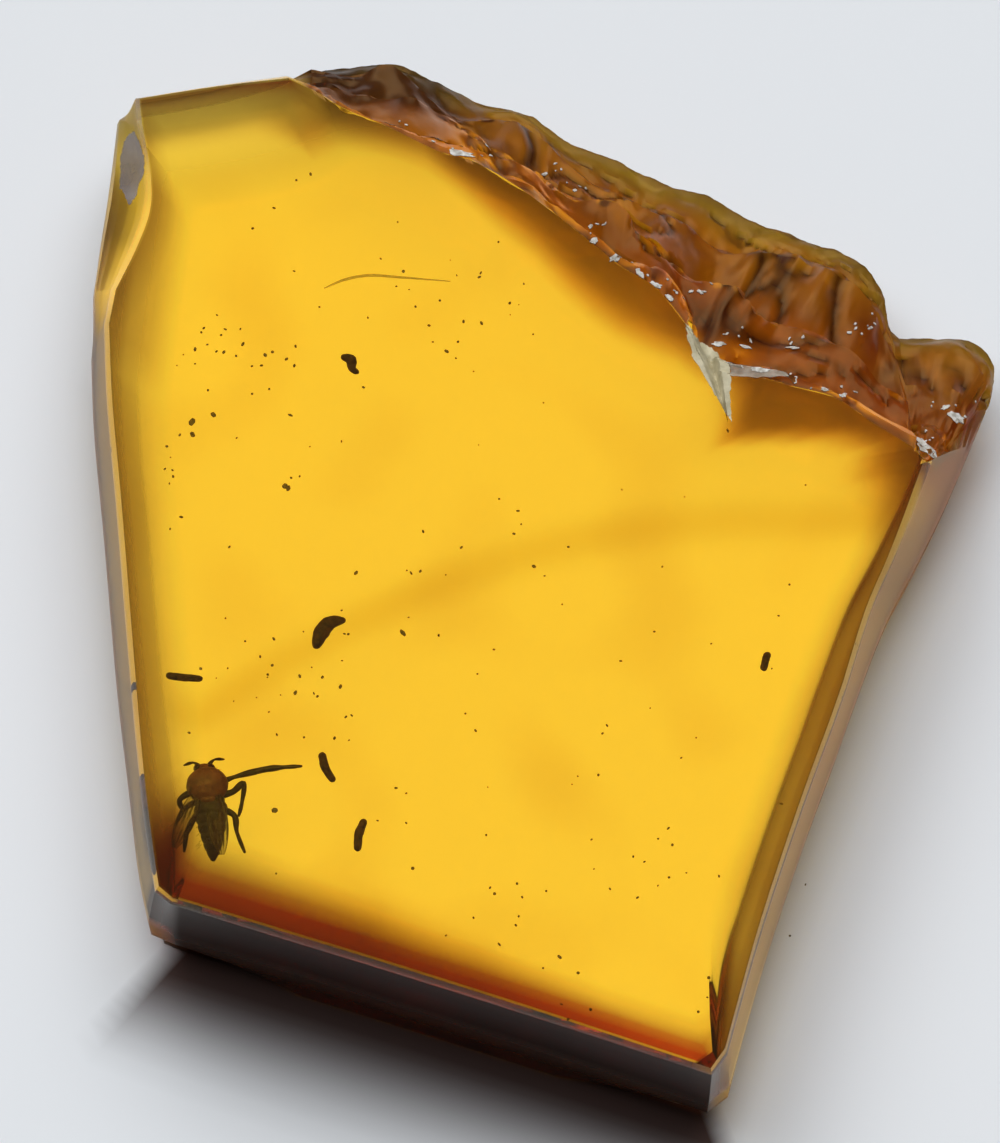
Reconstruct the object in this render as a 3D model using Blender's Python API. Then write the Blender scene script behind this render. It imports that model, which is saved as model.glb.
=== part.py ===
"""A polished slab of amber with a small fly and plant scraps sealed inside.

The amber is parted in two halves at the level of what it holds, so each sealed piece lies in
a pocket of its own. Lengths are in millimetres here and become metres when a mesh is made.
The camera side of the slab faces -Y, and the weathered crust runs along its +Y edge.
"""
import math
from collections import namedtuple

import bmesh
import bpy
from mathutils import Matrix, Vector, noise

MM = 0.001

# Driving dimensions of the slab
THICKNESS = 6.5
EDGE_BEVEL = 0.2
PARTING_HEIGHT = 3.4
PARTING_GAP = 0.3
POCKET_GAP = 0.32
# The slab's rounded underside is drawn in towards this point of the outline
HUB = Vector((0.5, 0.5))

# One stretch of the slab's edge, clockwise from above: the edge of the polished face, the widest
# outline below it, the height of that outline at both ends, how many steps the stretch has, and how
# much of the usual way its foot is drawn in at its start, along it and at its end
Stretch = namedtuple("Stretch", "wall steps face girdle heights feet", defaults=((1.0, 1.0, 1.0),))

STRETCHES = (
    Stretch("back", 4,
            ((-11.75, 15.3), (-9.2, 15.75), (-6.9, 16.05)),
            ((-12.3, 15.95), (-9.4, 16.5), (-7.2, 17.2)),
            (3.0, 3.0)),
    Stretch("crust", 54,
            ((-6.2, 15.65), (-5.0, 14.9), (-3.7, 14.3), (-2.0, 13.4), (-0.8, 13.0), (0.6, 12.1),
             (1.9, 11.05), (3.0, 10.1), (3.9, 9.3), (5.0, 8.55), (6.0, 7.2), (6.4, 6.2),
             (7.1, 5.6), (8.3, 5.4), (9.3, 5.1), (10.7, 4.7), (11.8, 3.9), (13.2, 2.95)),
            ((-6.2, 17.95), (-4.9, 18.15), (-3.3, 18.2), (-2.1, 17.6), (-0.7, 16.8), (1.0, 16.2),
             (2.6, 15.2), (4.1, 14.6), (5.2, 13.95), (6.6, 13.4), (8.2, 12.6), (9.7, 12.0),
             (10.6, 11.6), (11.4, 11.2), (12.0, 10.7), (12.4, 10.0), (12.6, 9.3), (12.75, 8.65)),
            (3.0, 2.8)),
    Stretch("block", 10,
            ((13.26, 2.88), (13.32, 2.8), (13.38, 2.73), (13.43, 2.66), (13.48, 2.6)),
            ((12.98, 8.45), (14.1, 8.45), (15.3, 8.3), (16.05, 7.4), (15.75, 6.0)),
            (2.5, 2.7)),
    Stretch("right", 8,
            ((13.52, 2.4), (12.85, 0.5), (12.3, -0.95), (11.6, -2.65), (10.85, -5.1)),
            ((15.25, 4.6), (14.35, 2.45), (13.35, 0.35), (12.3, -1.75), (11.15, -4.85)),
            (2.8, 3.0)),
    Stretch("right", 8,
            ((10.4, -6.4), (9.35, -9.3), (8.05, -13.25), (6.95, -17.2)),
            ((10.65, -6.3), (9.6, -9.2), (8.3, -13.15), (7.15, -17.2)),
            (3.0, 3.0), (1.0, 1.0, 0.4)),
    Stretch("front", 10,
            ((6.5, -17.85), (1.85, -16.25), (-3.1, -14.6), (-6.5, -13.5), (-10.2, -12.3)),
            ((6.5, -17.7), (1.85, -16.07), (-3.1, -14.42), (-6.5, -13.32), (-10.25, -12.15)),
            (3.0, 3.0), (0.4, 0.05, 0.4)),
    Stretch("left", 11,
            ((-10.65, -11.9), (-10.9, -10.3), (-11.25, -7.65), (-11.65, -3.65), (-12.1, 1.1),
             (-12.45, 4.55), (-12.6, 7.3)),
            ((-11.05, -11.8), (-11.4, -10.1), (-11.75, -7.4), (-12.2, -3.9), (-12.7, 1.1),
             (-13.1, 4.8), (-13.25, 7.5)),
            (3.0, 3.0), (0.4, 1.0, 1.0)),
    Stretch("chip", 9,
            ((-12.4, 8.5), (-11.75, 10.0), (-11.35, 11.3), (-11.35, 12.6), (-11.65, 14.4)),
            ((-13.15, 8.9), (-12.95, 10.9), (-12.8, 12.2), (-12.65, 13.6), (-12.5, 15.1)),
            (3.0, 3.0)),
)

# How far out and how far down each ring of a wall lies, as shares of the wall's width and drop
PLAIN_RINGS = ((0.1, 0.06), (0.22, 0.16), (0.36, 0.3), (0.52, 0.46), (0.68, 0.64), (0.84, 0.82), (1.0, 1.0))
WALL_RINGS = {
    "chip": ((0.08, 0.05), (0.25, 0.13), (0.45, 0.19), (0.65, 0.24), (0.85, 0.31), (0.96, 0.45),
             (1.0, 1.0)),
    "block": ((0.05, 0.28), (0.11, 0.42), (0.3, 0.52), (0.36, 0.64), (0.62, 0.74), (0.86, 0.86),
              (1.0, 1.0)),
}
# Three ledges of the crust: where each lies across it and how much of the drop it takes
CRUST_LEDGES = ((0.1, 0.2), (0.42, 0.24), (0.74, 0.16))
LEDGE_WIDTH = 0.035
LEDGE_WANDER = 0.11
LEDGE_WAVELENGTH = 2.6
CRUST_LUMP = 0.16
CRUST_LUMP_SIZE = 0.9
# How fast the lumps of the broken walls grow away from the polished face
ROUGH_WALLS = {"crust": 4.0, "block": 1.0}

# The underside below the widest outline: how far in towards the hub, and at what height
UNDERSIDE_RINGS = ((0.008, 1.75), (0.06, 0.9), (0.125, 0.3), (0.19, 0.0))
# How far from a stretch's end, as a share of it, its foot changes from the end's value to its own
FOOT_BLEND = 0.25

# The shard split off the polished face beside the crust: its tip, its two upper corners, its depth
SHARD_CORNERS = ((7.25, 3.75, 6.5), (5.9, 7.4, 6.5), (6.95, 6.6, 6.5), (6.5, 7.4, 5.5))

# The fly: lengths and places are from the middle of its thorax, which lies on the parting plane
FLY_PLACE = Vector((-9.2, -7.8, PARTING_HEIGHT))
FLY_POCKET_MIDDLE = Vector((0.75, -0.75, 0.0))
FLY_POCKET_RADII = (2.65, 2.35, 1.0)

Blob = namedtuple("Blob", "middle radii turn")
FLY_BLOBS = (
    Blob((0.0, 0.0, 0.08), (0.66, 0.62, 0.52), 0.0),
    Blob((-0.1, 0.52, -0.12), (0.3, 0.26, 0.27), 0.0),
    Blob((0.12, -0.8, 0.0), (0.53, 0.62, 0.42), 0.0),
    Blob((0.18, -1.4, -0.02), (0.42, 0.6, 0.34), 0.08),
    Blob((0.2, -1.95, -0.04), (0.26, 0.5, 0.24), 0.05),
)
FLY_WINGS = (
    Blob((-0.6, -1.25, 0.22), (0.3, 0.85, 0.05), -0.35),
    Blob((0.35, -1.35, 0.42), (0.32, 0.95, 0.05), 0.15),
)
# Each leg or feeler is a run of joints with its thickness there
FLY_LIMBS = (
    (((0.35, 0.1, -0.1), 0.11), ((0.85, 0.3, 0.0), 0.08), ((1.75, 0.52, 0.1), 0.12),
     ((2.4, 0.6, 0.12), 0.08), ((2.95, 0.64, 0.1), 0.05)),
    (((0.3, -0.3, -0.15), 0.1), ((0.8, -0.2, 0.0), 0.12), ((1.15, 0.1, 0.05), 0.08),
     ((1.1, -0.5, -0.1), 0.07), ((1.0, -0.95, -0.2), 0.05)),
    (((0.3, -0.7, -0.15), 0.1), ((0.85, -0.95, -0.1), 0.11), ((0.95, -1.5, -0.2), 0.07),
     ((1.2, -2.15, -0.25), 0.05)),
    (((-0.35, -0.1, -0.1), 0.1), ((-0.85, -0.45, 0.0), 0.1), ((-0.75, -0.75, -0.3), 0.06)),
    (((-0.3, -0.45, -0.2), 0.1), ((-0.7, -0.7, -0.25), 0.09), ((-0.95, -1.15, -0.3), 0.05)),
    (((-0.25, -0.8, -0.2), 0.1), ((-0.6, -1.4, -0.3), 0.09), ((-0.7, -2.1, -0.35), 0.05)),
    (((-0.2, 0.65, -0.15), 0.06), ((-0.45, 0.85, -0.3), 0.05), ((-0.75, 0.8, -0.45), 0.04)),
    (((0.0, 0.7, -0.15), 0.06), ((0.2, 0.95, -0.3), 0.05), ((0.5, 1.0, -0.45), 0.04)),
)
LIMB_SIDES = 7

# Plant scraps: the run of each one's middle line, from its place, and its thickness there
Scrap = namedtuple("Scrap", "name place run")
SCRAPS = (
    Scrap("scrap_curled", (-5.5, -2.6),
          (((-0.3, -0.42), 0.16), ((-0.16, -0.02), 0.26), ((0.1, 0.3), 0.24), ((0.5, 0.4), 0.12))),
    Scrap("scrap_left", (-10.0, -4.15),
          (((-0.45, 0.06), 0.12), ((0.0, 0.0), 0.13), ((0.5, -0.04), 0.11))),
    Scrap("scrap_middle", (-5.45, -7.2),
          (((-0.15, 0.42), 0.13), ((-0.04, 0.0), 0.14), ((0.18, -0.38), 0.11))),
    Scrap("scrap_lower", (-4.4, -9.45),
          (((0.12, 0.45), 0.12), ((-0.02, 0.05), 0.15), ((-0.06, -0.42), 0.12))),
    Scrap("scrap_right", (8.4, -3.6),
          (((-0.06, -0.22), 0.12), ((0.06, 0.22), 0.12))),
    Scrap("scrap_crossed", (-4.8, 6.8),
          (((-0.22, 0.1), 0.12), ((0.0, 0.0), 0.18), ((0.05, -0.3), 0.13), ((0.2, -0.42), 0.08))),
)
SCRAP_SIDES = 8

AMBER_COLOUR = (0.85, 0.42, 0.03, 1.0)
FLY_COLOUR = (0.055, 0.028, 0.02, 1.0)
SCRAP_COLOUR = (0.05, 0.03, 0.02, 1.0)


def start_empty():
    """Remove every object of the scene that the script starts in."""
    for old in list(bpy.data.objects):
        bpy.data.objects.remove(old, do_unlink=True)


def make_material(name, colour, roughness, transmission=0.0):
    material = bpy.data.materials.new(name)
    material.use_nodes = True
    shader = material.node_tree.nodes["Principled BSDF"]
    shader.inputs["Base Color"].default_value = colour
    shader.inputs["Roughness"].default_value = roughness
    shader.inputs["Metallic"].default_value = 0.0
    shader.inputs["Transmission Weight"].default_value = transmission
    shader.inputs["IOR"].default_value = 1.54
    return material


def make_object(name, bm, material, offset):
    """Turn a millimetre bmesh into a named object in metres, moved by the offset."""
    bmesh.ops.triangulate(bm, faces=bm.faces)
    bmesh.ops.recalc_face_normals(bm, faces=bm.faces)
    bmesh.ops.translate(bm, vec=offset, verts=bm.verts)
    bmesh.ops.scale(bm, vec=(MM, MM, MM), verts=bm.verts)
    mesh = bpy.data.meshes.new(name)
    bm.to_mesh(mesh)
    bm.free()
    if material:
        mesh.materials.append(material)
    obj = bpy.data.objects.new(name, mesh)
    bpy.context.scene.collection.objects.link(obj)
    return obj


def mark_as_guide(obj):
    obj.hide_render = True
    obj.display_type = "WIRE"


def add_boolean(obj, other, operation, solver="EXACT"):
    """Join or cut an object with a guide object."""
    boolean = obj.modifiers.new(operation.title(), "BOOLEAN")
    boolean.operation = operation
    boolean.object = other
    boolean.solver = solver
    mark_as_guide(other)


def along_curve(points, share):
    """The point at a share, 0 to 1, of the way along a smooth curve through the points."""
    place = share * (len(points) - 1)
    index = min(int(place), len(points) - 2)
    t = place - index
    before = Vector(points[max(index - 1, 0)])
    start = Vector(points[index])
    end = Vector(points[index + 1])
    after = Vector(points[min(index + 2, len(points) - 1)])
    return 0.5 * (2 * start + (end - before) * t + (2 * before - 5 * start + 4 * end - after) * t ** 2
                  + (3 * start - 3 * end + after - before) * t ** 3)


def wander(distance, lane):
    """A smooth value between about -1 and 1 that changes along the crust, one lane a ledge."""
    return 2.0 * noise.noise(Vector((distance / LEDGE_WAVELENGTH, 5.3 * lane, 0.7)))


def crust_rings(distance):
    """How far out and how far down the crust's rings lie, at a distance along the crust."""
    ledge_drops = [drop * (1.0 + 0.8 * wander(distance, 10 + lane))
                   for lane, (_, drop) in enumerate(CRUST_LEDGES)]
    slope_drop = 1.0 - sum(ledge_drops)
    rings = []
    down = 0.0
    last_out = 0.0
    for lane, (out, _) in enumerate(CRUST_LEDGES):
        out += LEDGE_WANDER * wander(distance, lane) * (1.0 if lane else 0.5)
        down += slope_drop * (out - last_out)
        rings.append((out, down))
        down += ledge_drops[lane]
        rings.append((out + LEDGE_WIDTH, down))
        last_out = out
    rings.append((1.0, 1.0))
    return rings


def foot_share(stretch, share):
    """How much of the usual way the foot is drawn in at a place along a stretch."""
    start, middle, end = stretch.feet
    if share < 0.5:
        return start + (middle - start) * min(1.0, share / FOOT_BLEND)
    return end + (middle - end) * min(1.0, (1.0 - share) / FOOT_BLEND)


def stations():
    """What each station round the slab's edge needs for its rings."""
    result = []
    for stretch in STRETCHES:
        distance = 0.0
        last = None
        for step in range(stretch.steps + 1):
            share = step / stretch.steps
            face = along_curve(stretch.face, share)
            girdle = along_curve(stretch.girdle, share)
            distance += (girdle - last).length if last else 0.0
            last = girdle
            height = stretch.heights[0] + share * (stretch.heights[1] - stretch.heights[0])
            drawn_in = foot_share(stretch, share)
            result.append((stretch.wall, face, girdle, height, distance, drawn_in))
    return result


def crust_lump(point):
    return CRUST_LUMP * 2.0 * noise.noise(point / CRUST_LUMP_SIZE)


def station_rings(wall, face, girdle, height, distance, drawn_in):
    """The points of one station from the polished face down the wall and under to the foot."""
    top = face
    if wall not in ROUGH_WALLS:
        top = face + (HUB - face).normalized() * EDGE_BEVEL
    points = [Vector((top.x, top.y, THICKNESS))]
    shares = crust_rings(distance) if wall == "crust" else WALL_RINGS.get(wall, PLAIN_RINGS)
    for out, down in shares:
        flat = face.lerp(girdle, out)
        point = Vector((flat.x, flat.y, THICKNESS - EDGE_BEVEL * (1.0 - down) - down * (THICKNESS - height)))
        if wall in ROUGH_WALLS and out < 1.0:
            point.z += crust_lump(point) * min(1.0, ROUGH_WALLS[wall] * out)
        points.append(point)
    for inward, level in UNDERSIDE_RINGS:
        flat = girdle.lerp(HUB, inward * drawn_in)
        points.append(Vector((flat.x, flat.y, level)))
    return points


def raise_cap(bm, cap, keep_old):
    """Extrude a cap face and return the new one; the old one stays only where it closes the form."""
    raised = bmesh.ops.extrude_face_region(bm, geom=[cap])["geom"]
    if not keep_old:
        bmesh.ops.delete(bm, geom=[cap], context="FACES_ONLY")
    return next(item for item in raised if isinstance(item, bmesh.types.BMFace))


def make_slab():
    """Loft the whole slab, ring by ring, from its foot up to the polished face."""
    columns = [station_rings(*station) for station in stations()]
    rings = [list(ring) for ring in zip(*columns)]
    rings.reverse()
    bm = bmesh.new()
    station_layer = bm.verts.layers.int.new("station")
    foot = []
    for index, point in enumerate(rings[0]):
        vert = bm.verts.new(point)
        vert[station_layer] = index
        foot.append(vert)
    top = bm.faces.new(foot)
    for number, ring in enumerate(rings[1:]):
        top = raise_cap(bm, top, keep_old=number == 0)
        for vert in top.verts:
            vert.co = ring[vert[station_layer]]
    bmesh.ops.recalc_face_normals(bm, faces=bm.faces)
    return bm


def keep_half(bm, upper):
    """Cut a copy of the slab at the parting plane and keep one side of it, closed."""
    half = bm.copy()
    side = 0.5 * PARTING_GAP if upper else -0.5 * PARTING_GAP
    level = Vector((0.0, 0.0, PARTING_HEIGHT + side))
    geom = half.verts[:] + half.edges[:] + half.faces[:]
    cut = bmesh.ops.bisect_plane(half, geom=geom, plane_co=level, plane_no=(0.0, 0.0, 1.0),
                                 clear_inner=upper, clear_outer=not upper)["geom_cut"]
    edges = [item for item in cut if isinstance(item, bmesh.types.BMEdge)]
    bmesh.ops.edgeloop_fill(half, edges=edges)
    return half


def add_blob(bm, middle, radii, turn=0.0, segments=16, rings=10):
    """Add an ellipsoid, turned about Z, to a bmesh."""
    matrix = (Matrix.Translation(middle) @ Matrix.Rotation(turn, 4, "Z")
              @ Matrix.Diagonal((*radii, 1.0)))
    bmesh.ops.create_uvsphere(bm, u_segments=segments, v_segments=rings, radius=1.0, matrix=matrix)


def add_run(bm, run, sides, extra=0.0, lift=0.0):
    """Add a closed tube that follows a run of (point, thickness radius) pairs with round ends."""
    points = [Vector((*point[:2], (point[2] if len(point) > 2 else 0.0) + lift)) for point, _ in run]
    radii = [radius + extra for _, radius in run]
    last = len(points) - 1
    circles = []
    for index, point in enumerate(points):
        ahead = (points[min(index + 1, last)] - points[max(index - 1, 0)]).normalized()
        circles.append((point, ahead, radii[index]))
    start, ahead, radius = circles[0]
    circles.insert(0, (start - ahead * radius * 0.7, ahead, radius * 0.55))
    end, ahead, radius = circles[-1]
    circles.append((end + ahead * radius * 0.7, ahead, radius * 0.55))
    layer = bm.verts.layers.int.get("place") or bm.verts.layers.int.new("place")
    first = bmesh.ops.create_circle(bm, cap_ends=True, segments=sides, radius=1.0)["verts"]
    for index, vert in enumerate(first):
        vert[layer] = index
    cap = first[0].link_faces[0]
    for number, (point, ahead, radius) in enumerate(circles):
        if number:
            cap = raise_cap(bm, cap, keep_old=number == 1)
        frame = ahead.to_track_quat("Z", "Y")
        for vert in cap.verts:
            angle = math.tau * vert[layer] / sides
            vert.co = point + frame @ Vector((math.cos(angle), math.sin(angle), 0.0)) * radius


def make_pockets(offset):
    """One guide with the fly's pocket and a snug pocket round each plant scrap."""
    bm = bmesh.new()
    add_blob(bm, FLY_PLACE + FLY_POCKET_MIDDLE, FLY_POCKET_RADII, segments=28, rings=14)
    for scrap in SCRAPS:
        run = [((scrap.place[0] + point[0], scrap.place[1] + point[1]), radius) for point, radius in scrap.run]
        add_run(bm, run, SCRAP_SIDES, extra=POCKET_GAP, lift=PARTING_HEIGHT)
    return make_object("pocket_guide", bm, None, offset)


def make_shard_guide(offset):
    """The wedge that is split off the polished face beside the crust."""
    bm = bmesh.new()
    for corner in SHARD_CORNERS:
        x, y, z = corner
        bm.verts.new((x, y, z))
        if z == THICKNESS:
            bm.verts.new((x, y, z + 1.0))
    bmesh.ops.convex_hull(bm, input=bm.verts)
    return make_object("shard_guide", bm, None, offset)


def make_amber(offset):
    """Both halves of the slab, with the pockets cut into the faces where they part."""
    material = make_material("amber", AMBER_COLOUR, 0.05, transmission=0.9)
    slab = make_slab()
    pockets = make_pockets(offset)
    upper = make_object("amber_upper_half", keep_half(slab, True), material, offset)
    lower = make_object("amber_lower_half", keep_half(slab, False), material, offset)
    slab.free()
    add_boolean(upper, make_shard_guide(offset), "DIFFERENCE", "MANIFOLD")
    for half in (upper, lower):
        add_boolean(half, pockets, "DIFFERENCE", "MANIFOLD")


def make_fly(offset):
    """The fly's thorax, joined with its head, abdomen, wings, legs and feelers."""
    material = make_material("dark_chitin", FLY_COLOUR, 0.45)
    bm = bmesh.new()
    add_blob(bm, FLY_PLACE + Vector(FLY_BLOBS[0].middle), FLY_BLOBS[0].radii)
    fly = make_object("insect", bm, material, offset)
    for blob in FLY_BLOBS[1:] + FLY_WINGS:
        bm = bmesh.new()
        add_blob(bm, FLY_PLACE + Vector(blob.middle), blob.radii, blob.turn)
        add_boolean(fly, make_object("fly_guide", bm, None, offset), "UNION")
    for limb in FLY_LIMBS:
        bm = bmesh.new()
        run = [(tuple(FLY_PLACE + Vector(point)), radius) for point, radius in limb]
        add_run(bm, run, LIMB_SIDES)
        add_boolean(fly, make_object("fly_guide", bm, None, offset), "UNION")
    fly.data.shade_smooth()


def make_scraps(offset):
    """The plant scraps, each a short tapered piece on the parting plane."""
    material = make_material("plant_debris", SCRAP_COLOUR, 0.7)
    for scrap in SCRAPS:
        bm = bmesh.new()
        run = [((scrap.place[0] + point[0], scrap.place[1] + point[1]), radius) for point, radius in scrap.run]
        add_run(bm, run, SCRAP_SIDES, lift=PARTING_HEIGHT)
        make_object(scrap.name, bm, material, offset).data.shade_smooth()


def centring_offset():
    """What puts the middle of the slab's outline, seen from above, at the origin."""
    outline = [point for station in stations() for point in station[1:3]]
    xs = [point.x for point in outline]
    ys = [point.y for point in outline]
    return Vector((-0.5 * (min(xs) + max(xs)), -0.5 * (min(ys) + max(ys)), 0.0))


def main():
    start_empty()
    offset = centring_offset()
    make_amber(offset)
    make_fly(offset)
    make_scraps(offset)


main()
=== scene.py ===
"""Looks of a small fly and plant scraps sealed in a polished slab of amber.

Shapes are worked out in millimetres and scaled to metres when a piece is made. The slab is one
clear closed piece: its finish and the shade painted into its colour change over its surface by masks
that the mesh carries.
"""
import math
import random
from collections import namedtuple

import bmesh
import bpy
from bpy.props import FloatProperty, FloatVectorProperty, IntProperty, PointerProperty
from mathutils import Matrix, Vector, noise
from mathutils.bvhtree import BVHTree


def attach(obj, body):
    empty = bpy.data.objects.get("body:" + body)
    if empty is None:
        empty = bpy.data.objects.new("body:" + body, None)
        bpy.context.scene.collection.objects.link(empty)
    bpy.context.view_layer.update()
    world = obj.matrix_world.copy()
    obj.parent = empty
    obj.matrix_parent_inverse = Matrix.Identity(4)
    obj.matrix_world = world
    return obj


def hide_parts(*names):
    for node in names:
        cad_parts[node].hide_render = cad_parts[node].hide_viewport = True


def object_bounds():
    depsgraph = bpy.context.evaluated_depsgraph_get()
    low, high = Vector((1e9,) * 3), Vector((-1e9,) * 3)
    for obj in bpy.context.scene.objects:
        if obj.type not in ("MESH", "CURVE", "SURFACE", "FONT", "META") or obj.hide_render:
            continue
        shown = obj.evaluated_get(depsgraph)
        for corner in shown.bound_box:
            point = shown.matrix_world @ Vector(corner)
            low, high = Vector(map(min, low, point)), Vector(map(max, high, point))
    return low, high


bl_info = {
    "name": "Fly in Amber",
    "version": (1, 0, 0),
    "blender": (4, 5, 0),
    "location": "3D View > Sidebar > Amber",
    "description": "Builds a polished slab of amber with a fly and plant scraps sealed inside",
    "category": "Add Mesh",
}

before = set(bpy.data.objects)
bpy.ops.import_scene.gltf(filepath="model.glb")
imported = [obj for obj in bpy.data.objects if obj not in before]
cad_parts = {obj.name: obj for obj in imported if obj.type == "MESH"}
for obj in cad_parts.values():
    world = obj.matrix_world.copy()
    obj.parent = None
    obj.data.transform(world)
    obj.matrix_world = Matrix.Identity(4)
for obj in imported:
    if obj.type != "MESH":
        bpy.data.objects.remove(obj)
CAD_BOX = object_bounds()

MM = 0.001
BODY = "root"
HALVES = ("amber_upper_half", "amber_lower_half")
LOW, HIGH = CAD_BOX
THICKNESS = (HIGH.z - LOW.z) / MM
# How high the fly and the scraps lie
SEALED_HEIGHT = 3.4
# Every ring of the slab narrows towards this point of the outline's own numbers
HUB = Vector((0.5, 0.5))

# One stretch of the slab's edge, clockwise from above: the edge of the polished face, the widest
# outline below it, the height of that outline at both ends, how many steps the stretch has, and how
# much of the usual way its foot is drawn in at its start, along it and at its end
Stretch = namedtuple("Stretch", "wall steps face girdle heights feet", defaults=((1.0, 1.0, 1.0),))

STRETCHES = (
    Stretch("back", 10,
            ((-11.75, 15.3), (-9.2, 15.75), (-6.9, 16.05)),
            ((-12.3, 15.95), (-9.4, 16.5), (-7.2, 17.2)),
            (3.0, 3.0)),
    Stretch("crust", 250,
            ((-6.2, 15.65), (-5.0, 14.9), (-3.7, 14.3), (-2.0, 13.4), (-0.8, 13.0), (0.6, 12.1),
             (1.9, 11.05), (3.0, 10.1), (3.9, 9.3), (5.0, 8.55), (6.0, 7.2), (6.4, 6.2),
             (7.1, 5.6), (8.3, 5.4), (9.3, 5.1), (10.7, 4.7), (11.8, 3.9), (13.2, 2.95)),
            ((-6.2, 17.95), (-4.9, 18.15), (-3.3, 18.2), (-2.1, 17.6), (-0.7, 16.8), (1.0, 16.2),
             (2.6, 15.2), (4.1, 14.6), (5.2, 13.95), (6.6, 13.4), (8.2, 12.6), (9.7, 12.0),
             (10.6, 11.6), (11.4, 11.2), (12.0, 10.7), (12.4, 10.0), (12.6, 9.3), (12.75, 8.65)),
            (3.0, 2.8)),
    Stretch("block", 60,
            ((13.26, 2.88), (13.32, 2.8), (13.38, 2.73), (13.43, 2.66), (13.48, 2.6)),
            ((12.98, 8.45), (14.1, 8.45), (15.3, 8.3), (16.05, 7.4), (15.75, 6.0)),
            (2.5, 2.7)),
    Stretch("right", 16,
            ((13.52, 2.4), (12.85, 0.5), (12.3, -0.95), (11.6, -2.65), (10.85, -5.1)),
            ((15.25, 4.6), (14.35, 2.45), (13.35, 0.35), (12.3, -1.75), (11.15, -4.85)),
            (2.8, 3.0)),
    Stretch("right", 14,
            ((10.4, -6.4), (9.35, -9.3), (8.05, -13.25), (6.95, -17.2)),
            ((10.65, -6.3), (9.6, -9.2), (8.3, -13.15), (7.15, -17.2)),
            (3.0, 3.0), (1.0, 1.0, 0.4)),
    Stretch("front", 28,
            ((6.5, -17.85), (1.85, -16.25), (-3.1, -14.6), (-6.5, -13.5), (-10.2, -12.3)),
            ((6.5, -17.7), (1.85, -16.07), (-3.1, -14.42), (-6.5, -13.32), (-10.25, -12.15)),
            (3.0, 3.0), (0.4, 0.05, 0.4)),
    Stretch("left", 22,
            ((-10.65, -11.9), (-10.9, -10.3), (-11.25, -7.65), (-11.65, -3.65), (-12.1, 1.1),
             (-12.45, 4.55), (-12.6, 7.3)),
            ((-11.05, -11.8), (-11.4, -10.1), (-11.75, -7.4), (-12.2, -3.9), (-12.7, 1.1),
             (-13.1, 4.8), (-13.25, 7.5)),
            (3.0, 3.0), (0.4, 1.0, 1.0)),
    Stretch("chip", 40,
            ((-12.4, 8.5), (-11.75, 10.0), (-11.35, 11.3), (-11.35, 12.6), (-11.65, 14.4)),
            ((-13.15, 8.9), (-12.95, 10.9), (-12.8, 12.2), (-12.65, 13.6), (-12.5, 15.1)),
            (3.0, 3.0)),
)
BROKEN_WALLS = ("crust", "block")

# How far out and how far down each ring of a wall lies, as shares of the wall's width and drop
PLAIN_RINGS = ((0.1, 0.06), (0.22, 0.16), (0.36, 0.3), (0.52, 0.46), (0.68, 0.64), (0.84, 0.82), (1.0, 1.0))
WALL_RINGS = {
    "chip": ((0.08, 0.05), (0.25, 0.13), (0.45, 0.19), (0.65, 0.24), (0.85, 0.31), (0.96, 0.45), (1.0, 1.0)),
    "block": ((0.05, 0.28), (0.11, 0.42), (0.3, 0.52), (0.36, 0.64), (0.62, 0.74), (0.86, 0.86), (1.0, 1.0)),
}
# Three ledges of the crust: where each lies across it and how much of the drop it takes
CRUST_LEDGES = ((0.1, 0.2), (0.42, 0.24), (0.74, 0.16))
LEDGE_WIDTH = 0.035
LEDGE_WANDER = 0.11
LEDGE_WAVELENGTH = 2.6
# How much the drop at a ledge changes along it, and how far apart the ledges' noise is read
LEDGE_DROP_CHANGE = 0.8
LANE_GAP = 5.3
CRUST_LUMP = 0.16
CRUST_LUMP_SIZE = 0.9
# How fast the lumps of the broken walls grow away from the polished face
LUMP_GROWTH = {"crust": 4.0, "block": 1.0}
# The underside below the widest outline: how far in towards the hub, and at what height
UNDERSIDE_RINGS = ((0.008, 1.75), (0.06, 0.9), (0.125, 0.3), (0.19, 0.0))
# How far from a stretch's end, as a share of it, its foot changes from the end's value to its own
FOOT_BLEND = 0.25
# How many steps each gap between two rings has, from the polished face down
RING_STEPS = (2, 3, 8, 3, 8, 3, 8, 4, 4, 4, 4)

# The shard split off the polished face beside the crust
SHARD_CORNERS = ((7.25, 3.75, 6.5), (5.9, 7.4, 6.5), (6.95, 6.6, 6.5), (6.5, 7.4, 5.5))

# Fine cracks that run over the broken surface, seen from above
CRACKS = (
    ((-5.95, 15.5), (-4.88, 15.1), (-3.83, 14.6), (-2.6, 14.2)),
    ((-0.81, 13.9), (0.97, 13.3), (2.73, 12.7), (3.6, 12.5)),
    ((4.6, 10.7), (5.81, 10.0), (7.42, 9.2), (9.02, 8.1)),
    ((9.4, 7.0), (10.4, 6.6), (11.5, 6.1), (12.4, 5.2)),
    ((13.3, 6.7), (14.5, 6.6), (15.8, 6.1)),
    ((6.9, 12.6), (8.3, 11.6), (9.6, 10.9)),
)
CRACK_WIDTH = 0.11
CRACK_DEPTH = 0.13
CRACK_WOBBLE = 0.06
# Within this distance of a crack's line its mask is full
CRACK_CORE = 0.02

# How many times finer than the crust's own length and rings its relief is
RELIEF_STRETCH = Vector((0.6, 1.1))
RIDGE_STRETCH = Vector((0.6, 1.4))

FLY_PLACE = Vector((-9.2, -7.8, SEALED_HEIGHT))
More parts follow.
